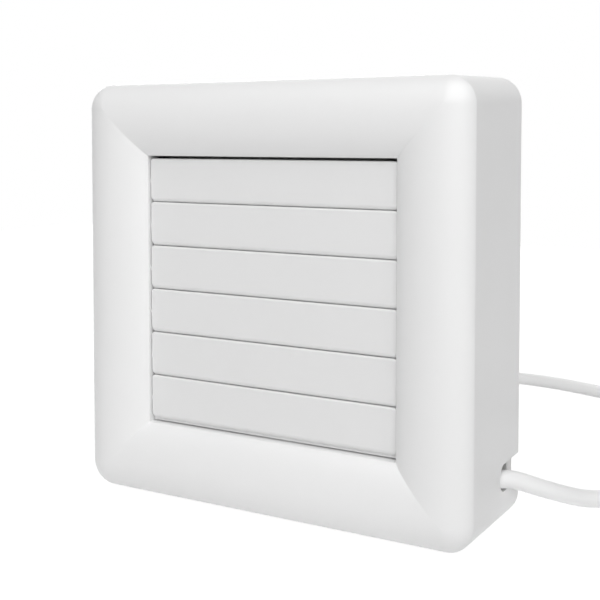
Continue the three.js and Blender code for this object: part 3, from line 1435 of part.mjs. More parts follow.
const coil = coilPoints();
add("mains_cord", cable(cordRoute(), CORD_RADIUS, CORD_SIDES), CORD_WHITE);
add("cord_coil", woundTube(coil, CORD_RADIUS, LOOP_SIDES), CORD_WHITE);
add("mains_plug", plugBody(), CORD_WHITE);
add("plug_pin_1", plugPin(-1), BRASS);
add("plug_pin_2", plugPin(1), BRASS);

console.log("least gap in the cord coil:", leastGap(coil, CORD_RADIUS, LOOP_STEPS).toFixed(2), "mm");

group.position.set(0, -MIDDLE_DEPTH, AXIS_HEIGHT);
const fan = new THREE.Group();
fan.add(group);

export default fan;
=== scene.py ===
"""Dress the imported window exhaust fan: smooth mouldings, cord, plug, materials, light and camera.

Shapes are built in millimetres from the fan axis, as the part's own source does: X points right
as seen from the front, depth runs rearward and Z points up. They become metres in the row frame
when a piece is made.
"""

import json
from math import ceil, cos, degrees, hypot, pi, radians, sin, sqrt, tan

import bmesh
import bpy
from mathutils import Matrix, Vector


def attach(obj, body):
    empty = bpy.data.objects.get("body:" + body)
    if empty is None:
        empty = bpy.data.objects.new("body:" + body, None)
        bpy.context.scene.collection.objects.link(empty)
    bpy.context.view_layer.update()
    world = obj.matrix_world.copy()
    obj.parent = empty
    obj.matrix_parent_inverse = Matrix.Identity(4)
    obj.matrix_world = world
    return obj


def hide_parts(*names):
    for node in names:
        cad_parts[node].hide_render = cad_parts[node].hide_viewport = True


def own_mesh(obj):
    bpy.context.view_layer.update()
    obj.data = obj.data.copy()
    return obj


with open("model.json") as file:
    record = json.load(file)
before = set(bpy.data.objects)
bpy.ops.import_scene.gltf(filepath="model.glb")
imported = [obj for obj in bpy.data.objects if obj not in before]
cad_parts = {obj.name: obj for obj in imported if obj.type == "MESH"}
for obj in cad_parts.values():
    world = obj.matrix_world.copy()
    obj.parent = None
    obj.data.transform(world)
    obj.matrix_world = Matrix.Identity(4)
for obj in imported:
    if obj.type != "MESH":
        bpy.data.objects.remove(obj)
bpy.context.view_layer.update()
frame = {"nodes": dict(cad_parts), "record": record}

# ---------------------------------------------------------------------------
# Sizes in millimetres, which agree with the part's source
# ---------------------------------------------------------------------------

# Clearances
FIT_GAP = 0.15  # round a fixed piece in its seat
SEAT_GAP = 0.3  # between pieces that meet face to face
SHAFT_GAP = 0.12
CATCH_GAP = 0.6  # round a catch in its opening
FLOOR_SLACK = 0.1

# Front cover
PANEL_SIZE = 172
EDGE_DEPTH = 2
REAR_DEPTH = 52
WALL_DRAFT = radians(1.8)
CORNER_RADIUS = 10.5
LEAST_CORNER = 0.4
COVER_WALL = 2.3
COVER_SKIN = 2.4
CREST_DEPTH = -4.3
CREST_INSET = 13
OPENING_SIZE = 112.2
OPENING_EDGE_DEPTH = 1.5
OUTER_FULLNESS = 0.241
INNER_FULLNESS = 0.5225
RIM_WALL = 2
RIM_DEPTH = 9
CATCH_DEPTH = 37
CATCH_SPACING = 90
CATCH_WIDTH = 14
CATCH_LENGTH = 2
CATCH_HEIGHT = 1.2

# Bosses behind the cover's face, for the screws of the louvre actuator
BOSS_X = -71.5
BOSS_HEIGHTS = (28.18, -76.8)
BOSS_RADIUS = 3.2
BOSS_FRONT = -0.5
BOSS_REAR = 17.65
BOSS_PILOT_FLOOR = 8.3
PILOT_RADIUS = 1.25  # of a small screw's hole

# Cord notch
NOTCH_HEIGHT = 10.7
NOTCH_CENTRE = -66.65
NOTCH_DEPTH = 30
HOUSING_NOTCH_MARGIN = 1
HOUSING_NOTCH_REAR = 45.5  # behind it a strip of the rim closes the housing's notch

# Louvres
SLAT_COUNT = 6
SLAT_GAP = 0.7
SLAT_THICKNESS = 1.6
SLAT_FACE_DEPTH = 2.8
SLAT_END_GAP = 0.4
TOP_GAP = 1.1
SILL_GAP = 0.5
TONGUE_LENGTH = 1.8
TONGUE_THICKNESS = 1
TONGUE_ROOT = 2
PIVOT_DROP = 9.8
PIVOT_BORE = 1.25
PIVOT_SLOT = 2.41
PIN_RADIUS = 1.1
PIN_REACH = 1.8
PIN_BOSS_LENGTH = 6
CRANK_RADIUS = 8
CRANK_GAP = 1
CRANK_THICKNESS = 2
CRANK_HUB = 2.3
CRANK_EYE = 2
CRANK_PIN_RADIUS = 1
CRANK_PIN_OVERHANG = 0.8
BAR_GAP = 1
BAR_THICKNESS = 2
LOUVRE_TRAVEL = radians(80)

# Fan housing
SPIGOT_END = 92
HOUSING_GAP = 0.5
HOUSING_WALL = 2
HOUSING_RIM_DEPTH = 30
PLATE_THICKNESS = 2.5
FIXING_HOLE_RADIUS = 2.5
FIXING_X = 74
FIXING_Z = 40
TUNNEL_BORE = 47
BAFFLE_DEPTH = 17
BAFFLE_THICKNESS = 2
BAFFLE_HALF = 58
BAFFLE_CORNER = 4
BELL_FLARE = 7.5
BELL_LENGTH = 8

# Motor cup, and its struts, of which the first carries the motor's leads
CUP_RADIUS = 28
CUP_FRONT = 42
CUP_REAR = 70
CUP_WALL = 2
CUP_FLOOR = 2.5
BEARING_RADIUS = 5.5
BEARING_BOSS_RADIUS = 8
BEARING_BOSS_FRONT = 40.5
BEARING_BOSS_REAR = 46.7
STRUT_ANGLES = (-90, 30, 150)
STRUT_WIDTH = 5
STRUT_FRONT = 46
STRUT_REAR = 60
CABLE_STRUT_WIDTH = 10
CHANNEL_WIDTH = 6
CHANNEL_FRONT = 45.6
CHANNEL_DEPTH = 3.2
LUG_CIRCLE = 30.2
CAP_LUG_RADIUS = 3
CAP_LUG_FRONT = 58
CAP_LUG_PILOT_FLOOR = 60.5

# Seats of the cord clamp and of the terminal block
CLAMP_X = 59
CLAMP_WIDTH = 10
CLAMP_SPAN = 23
CLAMP_SEAT_DEPTH = 28.9
CLAMP_SCREW_SPACING = 16
CLAMP_PILOT_RADIUS = 1.55
CLAMP_PILOT_FLOOR = 38.4
BLOCK_X = 33
BLOCK_Z = -67
BLOCK_SEAT_SIZE = 14
BLOCK_SEAT_DEPTH = 34
BLOCK_PILOT_FLOOR = 43.35

# Motor cap and shaft
CAP_DEPTH = 70.15
CAP_THICKNESS = 2.5
CAP_BOSS_FRONT = 66.75
CAP_SCREW_HOLE = 1.4
SHAFT_RADIUS = 2.5
SHAFT_FRONT = 19.5
SHAFT_REAR = 74.5

# Impeller
HUB_RADIUS = 22
HUB_FRONT = 21.3
HUB_REAR = 38
HUB_WALL = 2
HUB_BOSS_RADIUS = 6
BLADE_COUNT = 5
BLADE_TIP = 45
BLADE_FRONT = 23.5
BLADE_REAR = 36.5
BLADE_THICKNESS = 1.8
BLADE_CAMBER = 1.5
ROOT_SPAN = radians(46)
TIP_SPAN = radians(58)

# Return spring of the louvre actuator
FORK_TOP = -19.817
TOP_SHELF = 4.183
PLUNGER_DEPTH = 11.5
SPRING_RADIUS = 3.4
SPRING_WIRE = 0.45
SPRING_TURNS = 8
SPRING_END_TURNS = 1
SPRING_END_PITCH = 2.1  # of the closed end turns, in wire radii

# Mains cord and plug
CORD_RADIUS = 3.5
CORD_DEPTH = 27.1  # where the clamp holds it
CORD_Z = -68
COIL_CENTRE = (-55, 205)
COIL_TURNS = 4.5
COIL_INNER = 28.5
COIL_PITCH = 7.8
COIL_LAYER = 7.6
COIL_TAIL = 33
PLUG_THICKNESS = 22
PLUG_WIDTH = 35
PLUG_LENGTH = 30
RELIEF_LENGTH = 20
PLUG_PIN_RADIUS = 2.4
PLUG_PIN_SPACING = 19
PLUG_PIN_LENGTH = 19

# Of the smooth mouldings only: how far a form reaches into the one that carries it, and how
# corners are eased
SUNK = 1
EASE = 0.5
SMALL_EASE = 0.3
EASE_BOW = 0.3  # of the ease, from a corner's faces to its middle point


def outer_half(depth):
    return PANEL_SIZE / 2 + (depth - EDGE_DEPTH) * tan(WALL_DRAFT)


AXIS_HEIGHT = outer_half(REAR_DEPTH)
MIDDLE_DEPTH = (CREST_DEPTH + SPIGOT_END) / 2
FACE_BAND = (PANEL_SIZE - OPENING_SIZE) / 2
OPENING_HALF = OPENING_SIZE / 2
RIM_OUTSIDE = OPENING_HALF + RIM_WALL
HOUSING_CORNER = CORNER_RADIUS - COVER_WALL - HOUSING_GAP
SLAT_PITCH = (OPENING_SIZE - TOP_GAP - SILL_GAP - TONGUE_LENGTH + SLAT_GAP) / SLAT_COUNT
PIVOT_DEPTH = SLAT_FACE_DEPTH + SLAT_THICKNESS
FLOOR_CORD = -AXIS_HEIGHT + CORD_RADIUS + FLOOR_SLACK
COIL_OUTER = COIL_INNER + COIL_PITCH * COIL_TURNS / 2
PLUG_DEPTH = COIL_CENTRE[1] - COIL_OUTER
PLUG_Z = FLOOR_CORD + COIL_LAYER

# ---------------------------------------------------------------------------
# Mesh helpers
# ---------------------------------------------------------------------------

TO_ROW = Matrix.Diagonal((0.001, 0.001, 0.001, 1)) @ Matrix.Translation(
    (0, -MIDDLE_DEPTH, AXIS_HEIGHT)
)


def in_row(x, depth, z):
    return TO_ROW @ Vector((x, depth, z))


def loft(bm, rings, closed=False):
    """Skin through rings of equally many points, capped unless the rings close on themselves."""
    rows = [[bm.verts.new(point) for point in ring] for ring in rings]
    following = rows[1:] + rows[:1] if closed else rows[1:]
    for near, far in zip(rows, following):
        for i in range(len(near)):
            j = (i + 1) % len(near)
            bm.faces.new((near[i], near[j], far[j], far[i]))
    if not closed:
        bm.faces.new(rows[0][::-1])
        bm.faces.new(rows[-1])
    return rows


def turned(bm, profile, axis="Y", centre=(0, 0, 0), steps=48):
    """Turn (radius, along) pairs about a line along the axis.

    A profile starts and ends on the line, or else it closes on itself.
    """

    def point(radius, along, angle):
        u, v = radius * cos(angle), radius * sin(angle)
        place = {"X": (along, u, v), "Y": (u, along, v), "Z": (u, v, along)}[axis]
        return Vector(place) + Vector(centre)

    rows = []
    for radius, along in profile:
        count = 1 if radius == 0 else steps
        rows.append([bm.verts.new(point(radius, along, 2 * pi * k / steps)) for k in range(count)])
    pairs = list(zip(rows, rows[1:]))
    if profile[0][0] > 0:
        pairs.append((rows[-1], rows[0]))
    for near, far in pairs:
        for i in range(steps):
            j = (i + 1) % steps
            corners = [row[k % len(row)] for row, k in ((near, i), (near, j), (far, j), (far, i))]
            unique = list(dict.fromkeys(corners))
            if len(unique) > 2:
                bm.faces.new(unique)


def prism(bm, outline, axis, low, high, bevel=0.0, turn=0.0):
    """Extrude an outline along X or Y. Along X it is (depth, z), and along Y it is (x, z)."""
    part = bmesh.new()
    place = (lambda u, v, w: (w, u, v)) if axis == "X" else (lambda u, v, w: (u, w, v))
    loft(part, [[place(u, v, w) for u, v in outline] for w in (low, high)])
    bmesh.ops.recalc_face_normals(part, faces=part.faces)
    soften(part, bevel)
    bmesh.ops.rotate(part, cent=(0, 0, 0), matrix=Matrix.Rotation(turn, 3, "Y"), verts=part.verts)
    merge(bm, part)


def merge(bm, part):
    mesh = bpy.data.meshes.new("part")
    part.to_mesh(mesh)
    part.free()
    bm.from_mesh(mesh)
    bpy.data.meshes.remove(mesh)


def bends_past(edge, angle):
    """Whether an edge joins two faces at more than an angle in degrees."""
    return len(edge.link_faces) == 2 and degrees(edge.calc_face_angle(0)) > angle


def soften(bm, width, least=40):
    """Round the edges that bend past the least angle."""
    if width == 0:
        return
    bmesh.ops.bevel(
        bm,
        geom=[edge for edge in bm.edges if bends_past(edge, least)],
        offset=width,
        segments=2,
        profile=0.5,
        affect="EDGES",
        clamp_overlap=True,
    )


def box_outline(u0, u1, v0, v1):
    return [(u0, v0), (u1, v0), (u1, v1), (u0, v1)]


def rounded_square(half, radius, steps):
    """Points round a square with round corners."""
    points = []
    inner = half - radius
    for corner in range(4):
        cx = inner * (1 if corner in (0, 3) else -1)
        cz = inner * (1 if corner < 2 else -1)
        for step in range(steps + 1):
            angle = (corner + step / steps) * pi / 2
            points.append((cx + radius * cos(angle), cz + radius * sin(angle)))
    return points


def square_ring(half, radius, depth, steps):
    return [(x, depth, z) for x, z in rounded_square(half, radius, steps)]


def flat_plate(outlines, low, high, bevel):
    """A mesh for a plate with holes: the first outline is its edge, the others are its holes."""
    curve = bpy.data.curves.new("plate", "CURVE")
    curve.dimensions = "2D"
    curve.fill_mode = "BOTH"
    curve.extrude = (high - low) / 2 - bevel
    curve.bevel_depth = bevel
    curve.bevel_resolution = 1
    curve.offset = -bevel
    for outline in outlines:
        spline = curve.splines.new("POLY")
        spline.points.add(len(outline) - 1)
        for point, (x, z) in zip(spline.points, outline):
            point.co = (x, z, 0, 1)
        spline.use_cyclic_u = True
    holder = bpy.data.objects.new("plate", curve)
    bpy.context.scene.collection.objects.link(holder)
    bpy.context.view_layer.update()
    evaluated = holder.evaluated_get(bpy.context.evaluated_depsgraph_get())
    mesh = bpy.data.meshes.new_from_object(evaluated)
    bpy.data.objects.remove(holder)
    bpy.data.curves.remove(curve)
    mesh.transform(
        Matrix.Translation((0, (low + high) / 2, 0)) @ Matrix.Rotation(pi / 2, 4, "X")
    )
    part = bmesh.new()
    part.from_mesh(mesh)
    bpy.data.meshes.remove(mesh)
    bmesh.ops.remove_doubles(part, verts=part.verts, dist=0.001)
    return part


def eased_end(radius, end, side):
    """From a turned wall's side round to its end; the wall lies outward (1) or inward (-1)."""
    middle = EASE_BOW * EASE
    return [
        (radius, end - EASE),
        (radius + side * middle, end - middle),
        (radius + side * EASE, end),
    ]


def rod(bm, radius, low, high, axis="Y", centre=(0, 0, 0), steps=28):
    """Add a plain cylinder, to a shape or to what is cut out of one."""
    turned(bm, [(0, low), (radius, low), (radius, high), (0, high)], axis, centre, steps)


def span(middle, width):
    return middle - width / 2, middle + width / 2


def block(bm, xs, depths, zs, bevel=0.0):
    """Add a box, to a shape or to what is cut out of one."""
    prism(bm, box_outline(*xs, *zs), "Y", *depths, bevel=bevel)


def circle(radius, steps, x=0.0, z=0.0):
    return [
        (x + radius * cos(2 * pi * k / steps), z + radius * sin(2 * pi * k / steps))
        for k in range(steps)
    ]


def apply_modifiers(obj):
    bpy.context.view_layer.update()
    evaluated = obj.evaluated_get(bpy.context.evaluated_depsgraph_get())
    mesh = bpy.data.meshes.new_from_object(evaluated)
    obj.modifiers.clear()
    obj.data = mesh


def cut(bm, cutter):
    """What is left of a mesh once a closed cutter is taken out of it."""
    objects = []
    for part in (bm, cutter):
        bmesh.ops.recalc_face_normals(part, faces=part.faces)
        mesh = bpy.data.meshes.new("cut")
        part.to_mesh(mesh)
        part.free()
        obj = bpy.data.objects.new("cut", mesh)
        bpy.context.scene.collection.objects.link(obj)
        objects.append(obj)
    modifier = objects[0].modifiers.new("cut", "BOOLEAN")
    modifier.operation = "DIFFERENCE"
    modifier.object = objects[1]
    modifier.solver = "EXACT"
    apply_modifiers(objects[0])
    result = bmesh.new()
    result.from_mesh(objects[0].data)
    for obj in objects:
        bpy.data.objects.remove(obj)
    return result


def piece(name, bm, material, body, nodes=(), sharp=32, matrix=TO_ROW):
    """A finished object in the row frame that rides on a body and stands for CAD nodes."""
    bmesh.ops.recalc_face_normals(bm, faces=bm.faces)
    for face in bm.faces:
        face.smooth = True
    for edge in bm.edges:
        if len(edge.link_faces) == 2:
            edge.smooth = degrees(edge.calc_face_angle(0)) < sharp
    mesh = bpy.data.meshes.new(name)
    bm.to_mesh(mesh)
    bm.free()
    mesh.transform(matrix)
    obj = bpy.data.objects.new(name, mesh)
    bpy.context.scene.collection.objects.link(obj)
    weighted = obj.modifiers.new("weighted", "WEIGHTED_NORMAL")
    weighted.keep_sharp = True
    apply_modifiers(obj)
    obj.data.materials.clear()
    obj.data.materials.append(material)
    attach(obj, body)
    if nodes:
        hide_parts(*nodes)
    return obj


# ---------------------------------------------------------------------------
# Materials
# ---------------------------------------------------------------------------

TONE_SCALE = 22  # per metre
GLOSS_SCALE = 60
GLOSS_SPREAD = 0.12  # of a finish's roughness
GRAIN_HEIGHT = 0.0005


def surface(name, colour, roughness, metal=0.0, tint=0.02, grain=300.0, bump=0.02):
    """A finish with slow changes of tone and roughness, and a fine grain that only bumps."""
    material = bpy.data.materials.new(name)
    material.use_nodes = True
    nodes, links = material.node_tree.nodes, material.node_tree.links
    shader = nodes["Principled BSDF"]
    shader.inputs["Metallic"].default_value = metal
    place = nodes.new("ShaderNodeTexCoord").outputs["Object"]

    def noise(scale, detail):
        node = nodes.new("ShaderNodeTexNoise")
        node.inputs["Scale"].default_value = scale
        node.inputs["Detail"].default_value = detail
        links.new(place, node.inputs["Vector"])
        return node.outputs["Fac"]

    tone = nodes.new("ShaderNodeValToRGB")
    tone.color_ramp.elements[0].position = 0.3
    tone.color_ramp.elements[1].position = 0.7
    for element, factor in zip(tone.color_ramp.elements, (1 - tint, 1.0)):
        element.color = (*(channel * factor for channel in colour), 1)
    links.new(noise(TONE_SCALE, 2), tone.inputs["Fac"])
    links.new(tone.outputs["Color"], shader.inputs["Base Color"])

    gloss = nodes.new("ShaderNodeMapRange")
    gloss.inputs["To Min"].default_value = roughness * (1 - GLOSS_SPREAD)
    gloss.inputs["To Max"].default_value = roughness * (1 + GLOSS_SPREAD)
    links.new(noise(GLOSS_SCALE, 3), gloss.inputs["Value"])
    links.new(gloss.outputs["Result"], shader.inputs["Roughness"])

    relief = nodes.new("ShaderNodeBump")
    relief.inputs["Strength"].default_value = bump
    relief.inputs["Distance"].default_value = GRAIN_HEIGHT
    links.new(noise(grain, 4), relief.inputs["Height"])
    links.new(relief.outputs["Normal"], shader.inputs["Normal"])
    return material


def banded(material, axis, scale, strength):
    """Add fine parallel ridges across an axis, such as sheets in a stack or turns of wire."""
    nodes, links = material.node_tree.nodes, material.node_tree.links
    bump = next(node for node in nodes if node.type == "BUMP")
    wave = nodes.new("ShaderNodeTexWave")
    wave.bands_direction = axis
    wave.inputs["Scale"].default_value = scale
    place = next(node for node in nodes if node.type == "TEX_COORD").outputs["Object"]
    links.new(place, wave.inputs["Vector"])
    links.new(wave.outputs["Fac"], bump.inputs["Height"])
    bump.inputs["Strength"].default_value = strength
    return material


COVER_PLASTIC = surface("cover plastic", (0.86, 0.86, 0.86), 0.32, bump=0.015, tint=0.01)
# The slats take the cover's white plastic made darker: painted shade for the lesser light that
# falls on them in their recess behind the cover's face.
SLAT_PLASTIC_PAINTED_SHADE = surface("slat plastic with painted shade", (0.8, 0.8, 0.8), 0.38, bump=0.02, tint=0.01)
HOUSING_PLASTIC = surface("housing plastic", (0.82, 0.82, 0.81), 0.42, bump=0.05)
SMALL_PLASTIC = surface("small part plastic", (0.76, 0.76, 0.75), 0.45, bump=0.05)
IMPELLER_PLASTIC = surface("impeller plastic", (0.66, 0.67, 0.69), 0.4, bump=0.04)
CORD_PLASTIC = surface("cord sheath", (0.95, 0.95, 0.95), 0.42, bump=0.04, grain=900)
ZINC = surface("zinc plate", (0.62, 0.63, 0.65), 0.38, metal=1.0, tint=0.12, bump=0.1)
STEEL = surface("bright steel", (0.56, 0.57, 0.59), 0.24, metal=1.0, tint=0.08, bump=0.06)
LAMINATION = banded(
    surface("laminated steel", (0.26, 0.27, 0.28), 0.5, metal=0.9, tint=0.2), "Y", 320, 0.5
)
COPPER = banded(
    surface("enamelled wire", (0.55, 0.2, 0.08), 0.32, metal=0.8, tint=0.2), "Y", 420, 0.6
)
BRONZE = surface(
    "sintered bronze", (0.42, 0.28, 0.13), 0.55, metal=0.9, tint=0.2, bump=0.3, grain=2500
)
BRASS = surface("brass", (0.6, 0.45, 0.2), 0.32, metal=1.0, tint=0.1)
NICKEL = surface("nickel plate", (0.66, 0.63, 0.58), 0.24, metal=1.0, tint=0.05)
LEAD_BROWN = surface("brown insulation", (0.16, 0.07, 0.03), 0.4)
LEAD_BLUE = surface("blue insulation", (0.04, 0.13, 0.42), 0.4)
LEAD_RED = surface("red insulation", (0.42, 0.05, 0.03), 0.4)

SLOT_MATERIALS = {
    "cover_plastic": COVER_PLASTIC,
    "louvre_plastic": SLAT_PLASTIC_PAINTED_SHADE,
    "housing_plastic": HOUSING_PLASTIC,
    "small_part_plastic": SMALL_PLASTIC,
    "impeller_plastic": IMPELLER_PLASTIC,
    "cord_plastic": CORD_PLASTIC,
    "zinc_plated_steel": ZINC,
    "steel": STEEL,
    "laminated_steel": LAMINATION,
    "copper_wire": COPPER,
    "bronze": BRONZE,
    "brass": BRASS,
    "brown_lead": LEAD_BROWN,
    "blue_lead": LEAD_BLUE,
    "red_lead": LEAD_RED,
}

for part in frame["record"]["subparts"]:
    node = frame["nodes"][part["node"]]
    node.data.materials.clear()
    node.data.materials.append(SLOT_MATERIALS[part["material_slot"]])

# ---------------------------------------------------------------------------
# Front cover
# ---------------------------------------------------------------------------

CORNER_STEPS = 12
OUTER_STEPS = 14
INNER_STEPS = 20


def bow(share, fullness):
    """How far an arc falls from its crest, from 0 to 1; with no fullness it ends upright."""
    return (1 - sqrt(1 - share**2 * (1 - fullness**2))) / (1 - fullness)


def face_depth(inset):
    if inset < CREST_INSET:
        share = (CREST_INSET - inset) / CREST_INSET
        return CREST_DEPTH + (EDGE_DEPTH - CREST_DEPTH) * bow(share, OUTER_FULLNESS)
    share = (inset - CREST_INSET) / (FACE_BAND - CREST_INSET)
    return CREST_DEPTH + (OPENING_EDGE_DEPTH - CREST_DEPTH) * bow(share, INNER_FULLNESS)


def cover_corner(inset):
    return max(CORNER_RADIUS - inset, LEAST_CORNER)


def cover_shell(bm):
    """One closed skin: forward along the wall, in over the face, and back behind them both."""
    insets = [CREST_INSET * (1 - cos(k / OUTER_STEPS * pi / 2)) for k in range(OUTER_STEPS)]
    reach = FACE_BAND - CREST_INSET
    insets += [CREST_INSET + k / INNER_STEPS * reach for k in range(INNER_STEPS)]
    insets += [FACE_BAND - 0.35, FACE_BAND - 0.1]  # close rings keep the opening's edge crisp
    behind = [inset for inset in insets if COVER_WALL + 1 < inset < FACE_BAND - RIM_WALL - 0.5]
    back_insets = [FACE_BAND - RIM_WALL, *behind[::-1][::2], COVER_WALL]

    def face_ring(inset, back=0.0):
        half = PANEL_SIZE / 2 - inset
        return square_ring(half, cover_corner(inset), face_depth(inset) + back, CORNER_STEPS)

    def wall_ring(depth, inset):
        return square_ring(outer_half(depth) - inset, cover_corner(inset), depth, CORNER_STEPS)

    def rim_ring(half, depth):
        return square_ring(half, LEAST_CORNER, depth, CORNER_STEPS)

    rear = REAR_DEPTH
    middle = EASE_BOW * SMALL_EASE
    rings = [
        wall_ring(rear, SMALL_EASE),
        wall_ring(rear - middle, middle),
        wall_ring(rear - SMALL_EASE, 0),
        wall_ring(EDGE_DEPTH + 0.25, 0),
        *[face_ring(inset) for inset in insets],
        rim_ring(OPENING_HALF, OPENING_EDGE_DEPTH + 0.3),
        rim_ring(OPENING_HALF, RIM_DEPTH),
        rim_ring(RIM_OUTSIDE, RIM_DEPTH),
        *[face_ring(inset, COVER_SKIN) for inset in back_insets],
        wall_ring(rear - SMALL_EASE, COVER_WALL),
        wall_ring(rear, COVER_WALL + SMALL_EASE),
    ]
    loft(bm, rings, closed=True)


def notch_cutter(xs, depths, margin=0.0):
    """What cuts a notch for the cord through a wall: a slot with a round front end."""
    front, rear = depths
    radius = NOTCH_HEIGHT / 2 + margin
    middle = front + radius
    arc = [
        (middle - radius * sin(k * pi / 16), NOTCH_CENTRE - radius * cos(k * pi / 16))
        for k in range(17)
    ]
    outline = arc + [(rear, NOTCH_CENTRE + radius), (rear, NOTCH_CENTRE - radius)]
    cutter = bmesh.new()
    prism(cutter, outline, "X", *xs)
    return cutter


def soften_notch(bm, wall):
    """Round the edges of the notch in the cover's wall."""
    edges = [
        edge
        for edge in bm.edges
        if bends_past(edge, 60)
        and all(
            vert.co.x > wall - 6
            and abs(vert.co.z - NOTCH_CENTRE) < NOTCH_HEIGHT / 2 + 0.1
            and NOTCH_DEPTH - 1 < vert.co.y < REAR_DEPTH - 0.5
            for vert in edge.verts
        )
    ]
    bmesh.ops.bevel(bm, geom=edges, offset=SMALL_EASE, segments=2, profile=0.5, affect="EDGES")


def pivot_cutter():
    """What cuts the slats' bearings: round holes at the right, open slots at the left."""
    cutter = bmesh.new()
    near, far = OPENING_HALF - 0.5, RIM_OUTSIDE + 0.5
    half = PIVOT_SLOT / 2
    for index in range(SLAT_COUNT):
        z = pivot_height(index)
        rod(cutter, PIVOT_BORE, near, far, "X", (0, PIVOT_DEPTH, z))
        angles = [k * pi / 14 for k in range(15)]
        arc = [(-PIVOT_BORE * sin(a), PIVOT_BORE * cos(a)) for a in angles]
        outline = [(PIVOT_DEPTH + u, z + min(max(v, -half), half)) for u, v in arc]
        outline += [(RIM_DEPTH + 1, z - half), (RIM_DEPTH + 1, z + half)]
        prism(cutter, outline, "X", -far, -near)
    return cutter


def catches(width):
    """Each catch's span in X, and the wall it is on: 1 for the upper one and -1 for the lower."""
    for side in (-1, 1):
        for wall_side in (-1, 1):
            yield span(side * CATCH_SPACING / 2, width), wall_side


def make_cover():
    bm = bmesh.new()
    cover_shell(bm)
    wall = outer_half(REAR_DEPTH)
    bm = cut(bm, notch_cutter((wall - 8, wall + 3), (NOTCH_DEPTH, REAR_DEPTH + 3)))
    soften_notch(bm, wall)
    bm = cut(bm, pivot_cutter())
    inner = outer_half(CATCH_DEPTH) - COVER_WALL
    for xs, wall_side in catches(CATCH_WIDTH):
        heights = sorted((wall_side * (inner - CATCH_HEIGHT), wall_side * (inner + SUNK)))
        block(bm, xs, span(CATCH_DEPTH, CATCH_LENGTH), heights, bevel=0.2)
    boss = [
        (0, BOSS_FRONT),
        (BOSS_RADIUS, BOSS_FRONT),
        (BOSS_RADIUS, BOSS_REAR - SMALL_EASE),
        (BOSS_RADIUS - SMALL_EASE, BOSS_REAR),
        (PILOT_RADIUS, BOSS_REAR),
        (PILOT_RADIUS, BOSS_PILOT_FLOOR),
        (0, BOSS_PILOT_FLOOR),
    ]
    for z in BOSS_HEIGHTS:
        turned(bm, boss, centre=(BOSS_X, 0, z), steps=24)
    piece(
        "front_cover_shell",
        bm,
        COVER_PLASTIC,
        "fan",
        ["front_cover"],
        sharp=24,
    )


# ---------------------------------------------------------------------------
# Louvres
# ---------------------------------------------------------------------------


def pivot_height(index):
    return OPENING_HALF - TOP_GAP - PIVOT_DROP - index * SLAT_PITCH


def slat_outline(trim=0.0):
    """The slat's section round its pins: a thin blade with a round top and a lapped foot.

    Near its ends the blade is trimmed at the foot, and half as much at the top.
    """
    steps = 10
    front, back, half = -SLAT_THICKNESS, 0.0, SLAT_THICKNESS / 2
    bottom = PIVOT_DROP - (SLAT_PITCH - SLAT_GAP)
    tongue_back = SEAT_GAP + TONGUE_THICKNESS
    foot = bottom - 0.45 + trim  # a little into the gap above the next slat
    ease_in, ease_up = 1.3, 2.0
    top = PIVOT_DROP - half - trim / 2
    arc = [k * pi / 12 for k in range(7)]
    outline = [(front + ease_in * (1 - sin(a)), foot + ease_up * (1 - cos(a))) for a in arc]
    outline += [
        (front + half - half * cos(k * pi / steps), top + half * sin(k * pi / steps))
        for k in range(steps + 1)
    ]
    outline += [
        (back, bottom + TONGUE_ROOT + tongue_back),
        (tongue_back, bottom + TONGUE_ROOT),
        (tongue_back, bottom - TONGUE_LENGTH),
        (SEAT_GAP, bottom - TONGUE_LENGTH),
        (SEAT_GAP, foot),
    ]
    return outline


